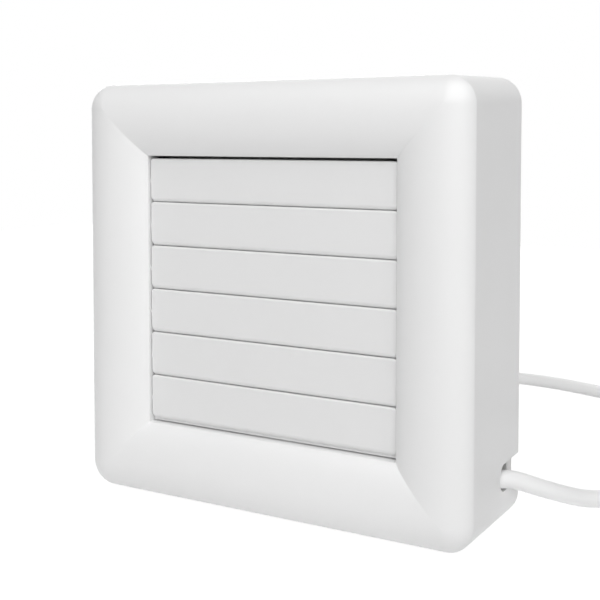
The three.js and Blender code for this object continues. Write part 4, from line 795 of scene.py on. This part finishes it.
def make_louvre(index):
    """A slat with its two pins, and at its left end the crank that the linkage bar turns."""
    half = (OPENING_SIZE - 2 * SLAT_END_GAP) / 2
    ease, corner, steps = 0.15, 1.3, 6
    bm = bmesh.new()

    def section(x, trim, shrink):
        middle = -SLAT_THICKNESS / 2
        return [
            (x, u + shrink * (1 if u < middle else -1), v - shrink * (1 if v > 0 else -1))
            for u, v in slat_outline(trim)
        ]

    ends = [(0, 0.75, ease), (0.1, 0.65, 0.4 * ease)]
    for k in range(steps + 1):
        a = pi / 6 + k * pi / 3 / steps
        ends.append((corner * (1 - cos(a)), corner * (1 - sin(a)), 0))
    sections = [section(-half + inset, trim, shrink) for inset, trim, shrink in ends]
    sections += [section(half - inset, trim, shrink) for inset, trim, shrink in ends[::-1]]
    loft(bm, sections)

    radius, end = SLAT_THICKNESS - 0.02, half + 0.3
    boss = [
        (0, half - PIN_BOSS_LENGTH),
        (radius, half - PIN_BOSS_LENGTH + 1),
        (radius, end - 0.1),
        (radius - 0.1, end),
        (0, end),
    ]
    for side in (-1, 1):
        turned(bm, [(r, side * along) for r, along in boss], "X", steps=20)
    crank_front = -(RIM_OUTSIDE + CRANK_GAP)
    rod(bm, PIN_RADIUS, half - SUNK, OPENING_HALF + PIN_REACH, "X", steps=20)
    rod(bm, PIN_RADIUS, crank_front - SUNK, SUNK - half, "X", steps=20)

    def half_circle(radius, start, middle=0.0):
        angles = [start + k * pi / 10 for k in range(11)]
        return [(middle + radius * cos(a), radius * sin(a)) for a in angles]

    turn = -LOUVRE_TRAVEL / 2
    c, s = cos(turn), sin(turn)
    link = half_circle(CRANK_HUB, pi / 2) + half_circle(CRANK_EYE, -pi / 2, CRANK_RADIUS)
    link = [(u * c - v * s, u * s + v * c) for u, v in link]
    crank_back = crank_front - CRANK_THICKNESS
    prism(bm, link, "X", crank_back, crank_front, bevel=0.15)
    pin_end = crank_back - BAR_GAP - BAR_THICKNESS - CRANK_PIN_OVERHANG
    pin = [
        (0, pin_end),
        (CRANK_PIN_RADIUS - 0.2, pin_end),
        (CRANK_PIN_RADIUS, pin_end + 0.2),
        (CRANK_PIN_RADIUS, crank_front - SUNK),
        (0, crank_front - SUNK),
    ]
    turned(bm, pin, "X", centre=(0, CRANK_RADIUS * c, CRANK_RADIUS * s), steps=20)
    piece(
        f"louvre_slat_{index + 1}",
        bm,
        SLAT_PLASTIC_PAINTED_SHADE,
        f"louvre_{index + 1}",
        [f"louvre_{index + 1}"],
        sharp=24,
        matrix=TO_ROW @ Matrix.Translation((0, PIVOT_DEPTH, pivot_height(index))),
    )


# ---------------------------------------------------------------------------
# Fan housing and motor
# ---------------------------------------------------------------------------


def housing_half(depth):
    return outer_half(depth) - COVER_WALL - HOUSING_GAP


def bell_curve(radius, length):
    """The flare at the tunnel's mouth, from its lip inward."""
    steps = 10
    lip = BAFFLE_DEPTH + 0.1
    angles = [k / steps * pi / 2 for k in range(steps + 1)]
    return [(radius + BELL_FLARE * (1 - sin(a)), lip + length * (1 - cos(a))) for a in angles]


def add_tunnel(bm):
    outside = TUNNEL_BORE + HOUSING_WALL
    profile = [
        *bell_curve(outside, BELL_LENGTH + HOUSING_WALL),
        *eased_end(outside, SPIGOT_END, -1),
        *eased_end(TUNNEL_BORE, SPIGOT_END, 1)[::-1],
        *bell_curve(TUNNEL_BORE, BELL_LENGTH)[::-1],
    ]
    turned(bm, profile, steps=96)


def add_plates(bm):
    """The rear plate with its fixing holes, and the baffle round the tunnel's mouth."""
    front = REAR_DEPTH - PLATE_THICKNESS
    edge = rounded_square(housing_half(front), HOUSING_CORNER, 12)
    holes = [
        circle(FIXING_HOLE_RADIUS, 32, x, z)
        for x in (-FIXING_X, FIXING_X)
        for z in (-FIXING_Z, FIXING_Z)
    ]
    tunnel = circle(TUNNEL_BORE + SUNK, 96)
    merge(bm, flat_plate([edge, tunnel, *holes], front, REAR_DEPTH, 0.25))
    edge = rounded_square(BAFFLE_HALF, BAFFLE_CORNER, 10)
    mouth = circle(TUNNEL_BORE + BELL_FLARE + 0.5, 96)
    merge(bm, flat_plate([edge, mouth], BAFFLE_DEPTH, BAFFLE_DEPTH + BAFFLE_THICKNESS, 0.2))


def add_rim(bm):
    """The rim inside the cover's wall, open for the catches and for the cord."""
    front = HOUSING_RIM_DEPTH
    foot = REAR_DEPTH - PLATE_THICKNESS / 2

    def ring(depth, inset):
        return square_ring(housing_half(depth) - inset, HOUSING_CORNER - inset, depth, 12)

    rings = [
        ring(foot, 0),
        ring(front + SMALL_EASE, 0),
        ring(front, SMALL_EASE),
        ring(front, HOUSING_WALL - SMALL_EASE),
        ring(front + SMALL_EASE, HOUSING_WALL),
        ring(foot, HOUSING_WALL),
    ]
    rim = bmesh.new()
    loft(rim, rings, closed=True)
    inner = housing_half(0) - HOUSING_WALL
    depths = (front - 7, HOUSING_NOTCH_REAR)
    openings = notch_cutter((inner - 3, inner + 8), depths, HOUSING_NOTCH_MARGIN)
    pocket = outer_half(CATCH_DEPTH) - COVER_WALL
    for xs, wall_side in catches(CATCH_WIDTH + 2 * CATCH_GAP):
        heights = sorted((wall_side * (pocket - 3), wall_side * (pocket + 1)))
        block(openings, xs, span(CATCH_DEPTH, CATCH_LENGTH + 2 * CATCH_GAP), heights)
    merge(bm, cut(rim, openings))


def add_cup(bm):
    """The motor's cup, with the front bearing's boss in the middle of its floor."""
    bearing_seat = BEARING_RADIUS + FIT_GAP
    inside, floor = CUP_RADIUS - CUP_WALL, CUP_FRONT + CUP_FLOOR
    corner = 1
    profile = [
        (bearing_seat, BEARING_BOSS_FRONT),
        (BEARING_BOSS_RADIUS - 0.4, BEARING_BOSS_FRONT),
        (BEARING_BOSS_RADIUS, BEARING_BOSS_FRONT + 0.4),
        (BEARING_BOSS_RADIUS, CUP_FRONT),
        (CUP_RADIUS - corner, CUP_FRONT),
        (CUP_RADIUS - EASE_BOW * corner, CUP_FRONT + EASE_BOW * corner),
        (CUP_RADIUS, CUP_FRONT + corner),
        (CUP_RADIUS, CUP_REAR),
        (inside, CUP_REAR),
        (inside, floor),
        (BEARING_BOSS_RADIUS, floor),
        (BEARING_BOSS_RADIUS, BEARING_BOSS_REAR),
        (bearing_seat, BEARING_BOSS_REAR),
    ]
    turned(bm, profile, steps=72)


def add_struts(bm):
    """The struts from the cup to the tunnel; the first has a channel for the motor's leads."""
    for angle in STRUT_ANGLES:
        has_leads = angle == STRUT_ANGLES[0]
        width = CABLE_STRUT_WIDTH if has_leads else STRUT_WIDTH
        front = CUP_FRONT if has_leads else STRUT_FRONT
        outline = box_outline(CUP_RADIUS - SUNK, TUNNEL_BORE + SUNK, *span(0, width))
        strut = bmesh.new()
        prism(strut, outline, "Y", front, STRUT_REAR, bevel=EASE, turn=-radians(angle))
        if has_leads:
            channel = bmesh.new()
            depths = (CHANNEL_FRONT, CHANNEL_FRONT + CHANNEL_DEPTH)
            block(channel, span(0, CHANNEL_WIDTH), depths, (-TUNNEL_BORE - 4, 3 - CUP_RADIUS))
            strut = cut(strut, channel)
        merge(bm, strut)


def add_lugs(bm, profile):
    """A lug on the motor at each strut, for the screws of its cap."""
    for angle in STRUT_ANGLES:
        a = radians(angle)
        turned(bm, profile, centre=(LUG_CIRCLE * cos(a), 0, LUG_CIRCLE * sin(a)), steps=28)


def add_seats(bm):
    """The grooved seat of the cord clamp, and the seat of the terminal block."""
    foot = REAR_DEPTH - PLATE_THICKNESS + SUNK
    seat, holes = bmesh.new(), bmesh.new()
    depths = (CLAMP_SEAT_DEPTH, foot)
    block(seat, span(CLAMP_X, CLAMP_WIDTH), depths, span(CORD_Z, CLAMP_SPAN), bevel=0.4)
    low, high = span(CLAMP_X, CLAMP_WIDTH + 2)
    rod(holes, CORD_RADIUS + SEAT_GAP, low, high, "X", (0, CORD_DEPTH, CORD_Z), steps=40)
    front = CLAMP_SEAT_DEPTH - 1
    for side in (1, -1):
        z = CORD_Z + side * CLAMP_SCREW_SPACING / 2
        rod(holes, CLAMP_PILOT_RADIUS, front, CLAMP_PILOT_FLOOR, centre=(CLAMP_X, 0, z))
    merge(bm, cut(seat, holes))
    seat, holes = bmesh.new(), bmesh.new()
    depths = (BLOCK_SEAT_DEPTH, foot)
    block(seat, span(BLOCK_X, BLOCK_SEAT_SIZE), depths, span(BLOCK_Z, BLOCK_SEAT_SIZE), bevel=0.4)
    front = BLOCK_SEAT_DEPTH - 1
    rod(holes, PILOT_RADIUS, front, BLOCK_PILOT_FLOOR, centre=(BLOCK_X, 0, BLOCK_Z))
    merge(bm, cut(seat, holes))


def make_housing():
    bm = bmesh.new()
    add_tunnel(bm)
    add_plates(bm)
    add_rim(bm)
    add_cup(bm)
    add_struts(bm)
    lug = [
        (0, CAP_LUG_FRONT),
        (CAP_LUG_RADIUS, CAP_LUG_FRONT),
        (CAP_LUG_RADIUS, CUP_REAR),
        (PILOT_RADIUS, CUP_REAR),
        (PILOT_RADIUS, CAP_LUG_PILOT_FLOOR),
        (0, CAP_LUG_PILOT_FLOOR),
    ]
    add_lugs(bm, lug)
    add_seats(bm)
    piece("housing_moulding", bm, HOUSING_PLASTIC, "fan", ["fan_housing"])


def make_motor_cap():
    rear = CAP_DEPTH + CAP_THICKNESS
    bearing_seat = BEARING_RADIUS + FIT_GAP
    groove_outside, groove_inside = CUP_RADIUS - 2.4, CUP_RADIUS - 4
    bm = bmesh.new()
    profile = [
        (bearing_seat, CAP_BOSS_FRONT),
        (BEARING_BOSS_RADIUS, CAP_BOSS_FRONT),
        (BEARING_BOSS_RADIUS, CAP_DEPTH),
        (CUP_RADIUS, CAP_DEPTH),
        *eased_end(CUP_RADIUS, rear, -1),
        (groove_outside, rear),
        (groove_outside - 0.3, rear - 0.5),
        (groove_inside + 0.3, rear - 0.5),
        (groove_inside, rear),
        (BEARING_RADIUS + 0.5, rear),
        (bearing_seat, rear - 0.4),
    ]
    turned(bm, profile, steps=72)
    lug = [
        (CAP_SCREW_HOLE, CAP_DEPTH),
        (CAP_LUG_RADIUS, CAP_DEPTH),
        (CAP_LUG_RADIUS, rear - SMALL_EASE),
        (CAP_LUG_RADIUS - SMALL_EASE, rear),
        (CAP_SCREW_HOLE + 0.2, rear),
        (CAP_SCREW_HOLE, rear - 0.2),
    ]
    add_lugs(bm, lug)
    piece("motor_end_cap", bm, HOUSING_PLASTIC, "fan", ["motor_cap"])


def make_shaft():
    chamfer = 0.4
    profile = [
        (0, SHAFT_FRONT),
        (SHAFT_RADIUS - chamfer, SHAFT_FRONT),
        (SHAFT_RADIUS, SHAFT_FRONT + chamfer),
        (SHAFT_RADIUS, SHAFT_REAR - chamfer),
        (SHAFT_RADIUS - chamfer, SHAFT_REAR),
        (0, SHAFT_REAR),
    ]
    bm = bmesh.new()
    turned(bm, profile, steps=40)
    piece("motor_shaft_rod", bm, STEEL, "rotor", ["motor_shaft"])


def add_hub(bm):
    """The impeller's cup, with a boss on the shaft in the middle of its floor."""
    hole, skirt = SHAFT_RADIUS + SHAFT_GAP, HUB_RADIUS - HUB_WALL
    floor, boss_rear = HUB_FRONT + HUB_WALL, HUB_REAR - HUB_WALL
    profile = [
        (hole, HUB_FRONT),
        (HUB_RADIUS - 3, HUB_FRONT),
        (HUB_RADIUS - 1.3, HUB_FRONT + 0.5),
        (HUB_RADIUS - 0.4, HUB_FRONT + 1.4),
        (HUB_RADIUS, HUB_FRONT + 3),
        (HUB_RADIUS, HUB_REAR - 0.2),
        (HUB_RADIUS - 0.2, HUB_REAR),
        (skirt + 0.2, HUB_REAR),
        (skirt, HUB_REAR - 0.2),
        (skirt, floor),
        (HUB_BOSS_RADIUS, floor),
        (HUB_BOSS_RADIUS, boss_rear),
        (hole, boss_rear),
    ]
    turned(bm, profile, steps=72)


def add_blade(bm, turn):
    """A cambered blade from inside the hub's wall out to its tip, wider there than at the root."""
    stations, steps = 10, 16
    root = HUB_RADIUS - HUB_WALL / 2
    rise = BLADE_REAR - BLADE_FRONT
    shares = [i / steps for i in range(steps + 1)]
    rings = []
    for station in range(stations + 1):
        share = station / stations
        radius = root + (BLADE_TIP - root) * share
        sweep = ROOT_SPAN + (TIP_SPAN - ROOT_SPAN) * share
        slope = hypot(1, rise / (radius * sweep))

        def point(along, side):
            angle = (along - 0.5) * sweep + turn
            thickness = BLADE_THICKNESS * (0.35 + 0.65 * sin(pi * along)) * slope
            depth = BLADE_FRONT + rise * along - BLADE_CAMBER * sin(pi * along)
            return (radius * cos(angle), depth + side * thickness / 2, radius * sin(angle))

        rings.append([point(u, 1) for u in shares] + [point(u, -1) for u in shares[::-1]])
    loft(bm, rings)


def make_impeller():
    bm = bmesh.new()
    add_hub(bm)
    for k in range(BLADE_COUNT):
        add_blade(bm, 2 * pi * k / BLADE_COUNT)
    piece("impeller_moulding", bm, IMPELLER_PLASTIC, "rotor", ["impeller"])


def make_spring():
    """A wire spring between the fork and the shelf, whose end turns lie close together."""
    steps = 24
    bottom, top = FORK_TOP + SEAT_GAP + SPRING_WIRE, TOP_SHELF - SEAT_GAP - SPRING_WIRE
    turns = SPRING_TURNS + 2 * SPRING_END_TURNS
    closed = SPRING_END_PITCH * SPRING_WIRE
    pitch = (top - bottom - 2 * SPRING_END_TURNS * closed) / SPRING_TURNS
    path, z = [], bottom
    for k in range(turns * steps + 1):
        turn = k / steps
        x = BOSS_X + SPRING_RADIUS * cos(2 * pi * turn)
        depth = PLUNGER_DEPTH + SPRING_RADIUS * sin(2 * pi * turn)
        path.append(Vector((x, depth, z)))
        at_end = turn < SPRING_END_TURNS or turn >= turns - SPRING_END_TURNS
        z += (closed if at_end else pitch) / steps
    bm = bmesh.new()
    tube(bm, path, SPRING_WIRE, sides=12)
    spring = piece("return_spring_wire", bm, STEEL, "plunger", ["return_spring"])
    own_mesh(spring)


# ---------------------------------------------------------------------------
# Mains cord and plug
# ---------------------------------------------------------------------------

# Where the cord lies on the floor (X, depth), and its whole way from the clamp to the coil
FLOOR_ROUTE = [
    (121, 86), (130, 99), (139, 116), (145, 138), (147, 162), (144, 187),
    (136, 209), (122, 228), (103, 243), (82, 253), (62, 260), (45, 264),
    (28, 265.5), (8, 263.5), (-13, 258.5), (-32, 253.5), (-43, 251.4),
]
CORD_ROUTE = [
    (52, CORD_DEPTH, CORD_Z),
    (59, CORD_DEPTH, CORD_Z),
    (66, 27.2, CORD_Z),
    (72, 27.9, CORD_Z),
    (77.3, 29.8, CORD_Z),
    (82.1, 32.9, -67.9),
    (86.7, 37.1, -67.9),
    (90.5, 41.2, -69.2),
    (95.2, 46.9, -72.1),
    (100.0, 53.3, -75.2),
    (104.5, 60.5, -78.4),
    (108.9, 68.0, -81.3),
    (114.3, 76.3, -83.4),
    *[(x, depth, FLOOR_CORD) for x, depth in FLOOR_ROUTE],
]


def coil_points():
    """Turns that spiral in along the floor, climb where the spiral reverses, and spiral out."""
    per_turn = 48
    points = []
    for k in range(int(COIL_TURNS * per_turn) + 1):
        turn = k / per_turn
        from_middle = turn - COIL_TURNS / 2
        radius = COIL_INNER + COIL_PITCH * abs(from_middle)
        climb = min(max(0.5 + 2 * from_middle, 0), 1)
        angle = pi / 2 + 2 * pi * turn
        x = COIL_CENTRE[0] + radius * cos(angle)
        depth = COIL_CENTRE[1] + radius * sin(angle)
        z = FLOOR_CORD + COIL_LAYER * climb * climb * (3 - 2 * climb)
        points.append(Vector((x, depth, z)))
    return points


def smooth_path(points, spacing):
    """Points close together along a centripetal spline through the given points."""
    points = [Vector(point) for point in points]
    ends = [2 * points[0] - points[1], *points, 2 * points[-1] - points[-2]]
    path = []
    for a, b, c, d in zip(ends, ends[1:], ends[2:], ends[3:]):
        knots = [0.0]
        for p, q in ((a, b), (b, c), (c, d)):
            knots.append(knots[-1] + max((q - p).length, 1e-6) ** 0.5)
        count = max(2, ceil((c - b).length / spacing))
        for k in range(count):
            t = knots[1] + (knots[2] - knots[1]) * k / count

            def between(p, q, i, j):
                return p.lerp(q, (t - knots[i]) / (knots[j] - knots[i]))

            ab, bc, cd = between(a, b, 0, 1), between(b, c, 1, 2), between(c, d, 2, 3)
            path.append(between(between(ab, bc, 0, 2), between(bc, cd, 1, 3), 1, 2))
    path.append(points[-1])
    return path


def tube(bm, path, radius, sides=20):
    angles = [2 * pi * i / sides for i in range(sides)]
    rings = []
    for k, point in enumerate(path):
        along = (path[min(k + 1, len(path) - 1)] - path[max(k - 1, 0)]).normalized()
        side = Vector((0, 0, 1)).cross(along).normalized()
        up = along.cross(side)
        rings.append([point + radius * (cos(a) * side + sin(a) * up) for a in angles])
    loft(bm, rings)


def make_cord():
    coil = coil_points()
    tail_end = Vector((COIL_CENTRE[0] + COIL_TAIL, PLUG_DEPTH, PLUG_Z))
    tail_middle = coil[-1] + (tail_end - coil[-1]) * 0.5
    path = smooth_path([*CORD_ROUTE, *coil, tail_middle, tail_end], 3)
    bm = bmesh.new()
    tube(bm, path, CORD_RADIUS)
    cord = piece("cord", bm, CORD_PLASTIC, "fan", ["mains_cord", "cord_coil"])
    return cord, [in_row(*point) for point in path]


def plug_section(x, half_width, half_height, power):
    """A ring across the plug, round at power 2 and squarer above it."""
    steps = 40
    ring = []
    for k in range(steps):
        angle = 2 * pi * k / steps
        c, s = cos(angle), sin(angle)
        u = half_width * abs(c) ** (2 / power) * (1 if c >= 0 else -1)
        v = half_height * abs(s) ** (2 / power) * (1 if s >= 0 else -1)
        ring.append((x, PLUG_DEPTH + u, PLUG_Z + v))
    return ring


def relief_sections(start):
    """The ribbed strain relief, which widens towards the plug's body."""
    ribs = 6
    rib = ((0.0, 0.0), (0.5, 0.0), (0.62, 0.55), (0.9, 0.55))  # share of its pitch, depth
    rings = [plug_section(start, 3.9, 3.9, 2)]
    for k in range(ribs):
        for offset, depth in rib:
            share = (k + offset) / ribs
            radius = 4.4 + 1.6 * share - depth
            x = start + 0.3 + (RELIEF_LENGTH - 1) * share
            rings.append(plug_section(x, radius, radius, 2))
    return rings


def body_sections(start):
    half_w, half_h = PLUG_WIDTH / 2, PLUG_THICKNESS / 2
    shape = [
        (-0.5, 6.2, 6.1, 2.0),
        (0.4, 8.4, 7.4, 2.1),
        (2.2, 11.4, 8.8, 2.3),
        (5.0, 14.0, 9.9, 2.6),
        (9.0, 16.0, 10.5, 2.9),
        (14.0, half_w - 0.5, half_h - 0.2, 3.2),
        (20.0, half_w, half_h, 3.4),
        (27.5, half_w, half_h, 3.5),
        (29.3, half_w - 0.5, half_h - 0.5, 3.5),
        (PLUG_LENGTH, half_w - 1.3, half_h - 1.3, 3.4),
    ]
    return [plug_section(start + x, w, h, power) for x, w, h, power in shape]


def pin_profile(root, tip):
    radius, tip_radius = PLUG_PIN_RADIUS, 2
    flat, end = radius - tip_radius, tip - tip_radius
    angles = [k * pi / 12 for k in range(7)]
    dome = [(flat + tip_radius * cos(a), end + tip_radius * sin(a)) for a in angles]
    return [(0, root), (radius, root), *dome, (0, tip)]


def make_plug():
    start = COIL_CENTRE[0] + COIL_TAIL + SEAT_GAP
    body = start + RELIEF_LENGTH
    face, socket_floor = body + PLUG_LENGTH, body + PLUG_LENGTH / 2
    bm, sockets = bmesh.new(), bmesh.new()
    loft(bm, relief_sections(start) + body_sections(body))
    centres = [(0, depth, PLUG_Z) for depth in span(PLUG_DEPTH, PLUG_PIN_SPACING)]
    for centre in centres:
        rod(sockets, PLUG_PIN_RADIUS + FIT_GAP, socket_floor, face + 1, "X", centre, 40)
    bm = cut(bm, sockets)
    plug = piece("plug_body", bm, CORD_PLASTIC, "fan", ["mains_plug"])
    pins = []
    for number, centre in enumerate(centres, start=1):
        bm = bmesh.new()
        profile = pin_profile(socket_floor + FIT_GAP, face + PLUG_PIN_LENGTH)
        turned(bm, profile, "X", centre, steps=32)
        name = f"plug_pin_{number}"
        pins.append(piece(name + "_turned", bm, NICKEL, "fan", [name]))
    return plug, pins


# ---------------------------------------------------------------------------
# Build everything
# ---------------------------------------------------------------------------

make_cover()
for slat in range(SLAT_COUNT):
    make_louvre(slat)
make_housing()
make_motor_cap()
make_shaft()
make_impeller()
make_spring()
cord, cord_path = make_cord()
plug, plug_pins = make_plug()

# ---------------------------------------------------------------------------
# Floor, light and camera
# ---------------------------------------------------------------------------


FLOOR_HALF = 1
FLOOR_TONE = 0.9
FLOOR_LIGHT = 0.3  # what the lamps bring to the floor, as a share of white
FLOOR_LIT_SHARE = 0.25  # how much of that the camera sees; a glow makes up the rest
WORLD_STRENGTH = 0.06
LIGHT_DISTANCE = 1.3
LIGHT_TARGET = (0, 0, 0.09)

# The photograph's camera, from a fit to its corners, louvre lines and cord
IMAGE_SIZE = 600
FOCAL_LENGTH = 1007.6  # in pixels
CAMERA_PLACE = (199.9, -337.6, 63.7)
CAMERA_AZIMUTH = radians(28.479)
CAMERA_PITCH = radians(2.5)
CAMERA_SHIFT = -0.1975


def seen_rays(nodes, links):
    """1 for rays from the camera and for those it sees in or through a surface, 0 for the rest."""
    rays = nodes.new("ShaderNodeLightPath")
    mirrored, seen = nodes.new("ShaderNodeMath"), nodes.new("ShaderNodeMath")
    mirrored.operation = seen.operation = "MAXIMUM"
    links.new(rays.outputs["Is Glossy Ray"], mirrored.inputs[0])
    links.new(rays.outputs["Is Transmission Ray"], mirrored.inputs[1])
    links.new(rays.outputs["Is Camera Ray"], seen.inputs[0])
    links.new(mirrored.outputs["Value"], seen.inputs[1])
    return seen.outputs["Value"]


def make_floor():
    """White to the camera and in reflections, and a plain lit surface to everything else."""
    material = bpy.data.materials.new("floor")
    material.use_nodes = True
    nodes, links = material.node_tree.nodes, material.node_tree.links
    nodes.clear()
    shade = nodes.new("ShaderNodeBsdfDiffuse")
    shade.inputs["Color"].default_value = (*[FLOOR_LIT_SHARE] * 3, 1)
    glow = nodes.new("ShaderNodeEmission")
    glow.inputs["Strength"].default_value = 1 - FLOOR_LIT_SHARE * FLOOR_LIGHT
    both = nodes.new("ShaderNodeAddShader")
    links.new(shade.outputs["BSDF"], both.inputs[0])
    links.new(glow.outputs["Emission"], both.inputs[1])
    plain = nodes.new("ShaderNodeBsdfDiffuse")
    plain.inputs["Color"].default_value = (*[FLOOR_TONE] * 3, 1)
    mix = nodes.new("ShaderNodeMixShader")
    links.new(seen_rays(nodes, links), mix.inputs["Fac"])
    links.new(plain.outputs["BSDF"], mix.inputs[1])
    links.new(both.outputs["Shader"], mix.inputs[2])
    out = nodes.new("ShaderNodeOutputMaterial")
    links.new(mix.outputs["Shader"], out.inputs["Surface"])

    mesh = bpy.data.meshes.new("floor")
    corners = [(-1, -1), (1, -1), (1, 1), (-1, 1)]
    mesh.from_pydata([(FLOOR_HALF * x, FLOOR_HALF * y, 0) for x, y in corners], [], [(0, 1, 2, 3)])
    mesh.materials.append(material)
    floor = bpy.data.objects.new("floor", mesh)
    bpy.context.scene.collection.objects.link(floor)


def make_world():
    """White where it is seen, and a faint even light on everything."""
    world = bpy.data.worlds.new("studio")
    bpy.context.scene.world = world
    world.use_nodes = True
    nodes, links = world.node_tree.nodes, world.node_tree.links
    background = nodes["Background"]
    background.inputs["Color"].default_value = (1, 1, 1, 1)
    level = nodes.new("ShaderNodeMapRange")
    level.inputs["To Min"].default_value = WORLD_STRENGTH
    level.inputs["To Max"].default_value = 1.0
    links.new(seen_rays(nodes, links), level.inputs["Value"])
    links.new(level.outputs["Result"], background.inputs["Strength"])


def add_light(name, turn, rise, size, power):
    """A round soft light aimed at the fan: turned from its front to its right, and raised."""
    turn, rise = radians(turn), radians(rise)
    away = Vector((sin(turn) * cos(rise), -cos(turn) * cos(rise), sin(rise)))
    data = bpy.data.lights.new(name, "AREA")
    data.shape = "DISK"
    data.size = size
    data.energy = power
    lamp = bpy.data.objects.new(name, data)
    lamp.location = Vector(LIGHT_TARGET) + LIGHT_DISTANCE * away
    lamp.rotation_euler = (-away).to_track_quat("-Z", "Y").to_euler()
    bpy.context.scene.collection.objects.link(lamp)


def make_camera():
    data = bpy.data.cameras.new("camera")
    data.sensor_width = 36
    data.lens = FOCAL_LENGTH / IMAGE_SIZE * data.sensor_width
    data.shift_y = CAMERA_SHIFT
    data.clip_start = 0.01
    camera = bpy.data.objects.new("camera", data)
    camera.location = in_row(*CAMERA_PLACE)
    camera.rotation_euler = (pi / 2 - CAMERA_PITCH, 0, CAMERA_AZIMUTH)
    bpy.context.scene.collection.objects.link(camera)
    bpy.context.scene.camera = camera


make_floor()
make_world()
add_light("key", turn=28, rise=43, size=1.8, power=19.6)
add_light("rear", turn=218, rise=25, size=0.9, power=8.5)
make_camera()
bpy.context.scene.view_settings.view_transform = "Standard"
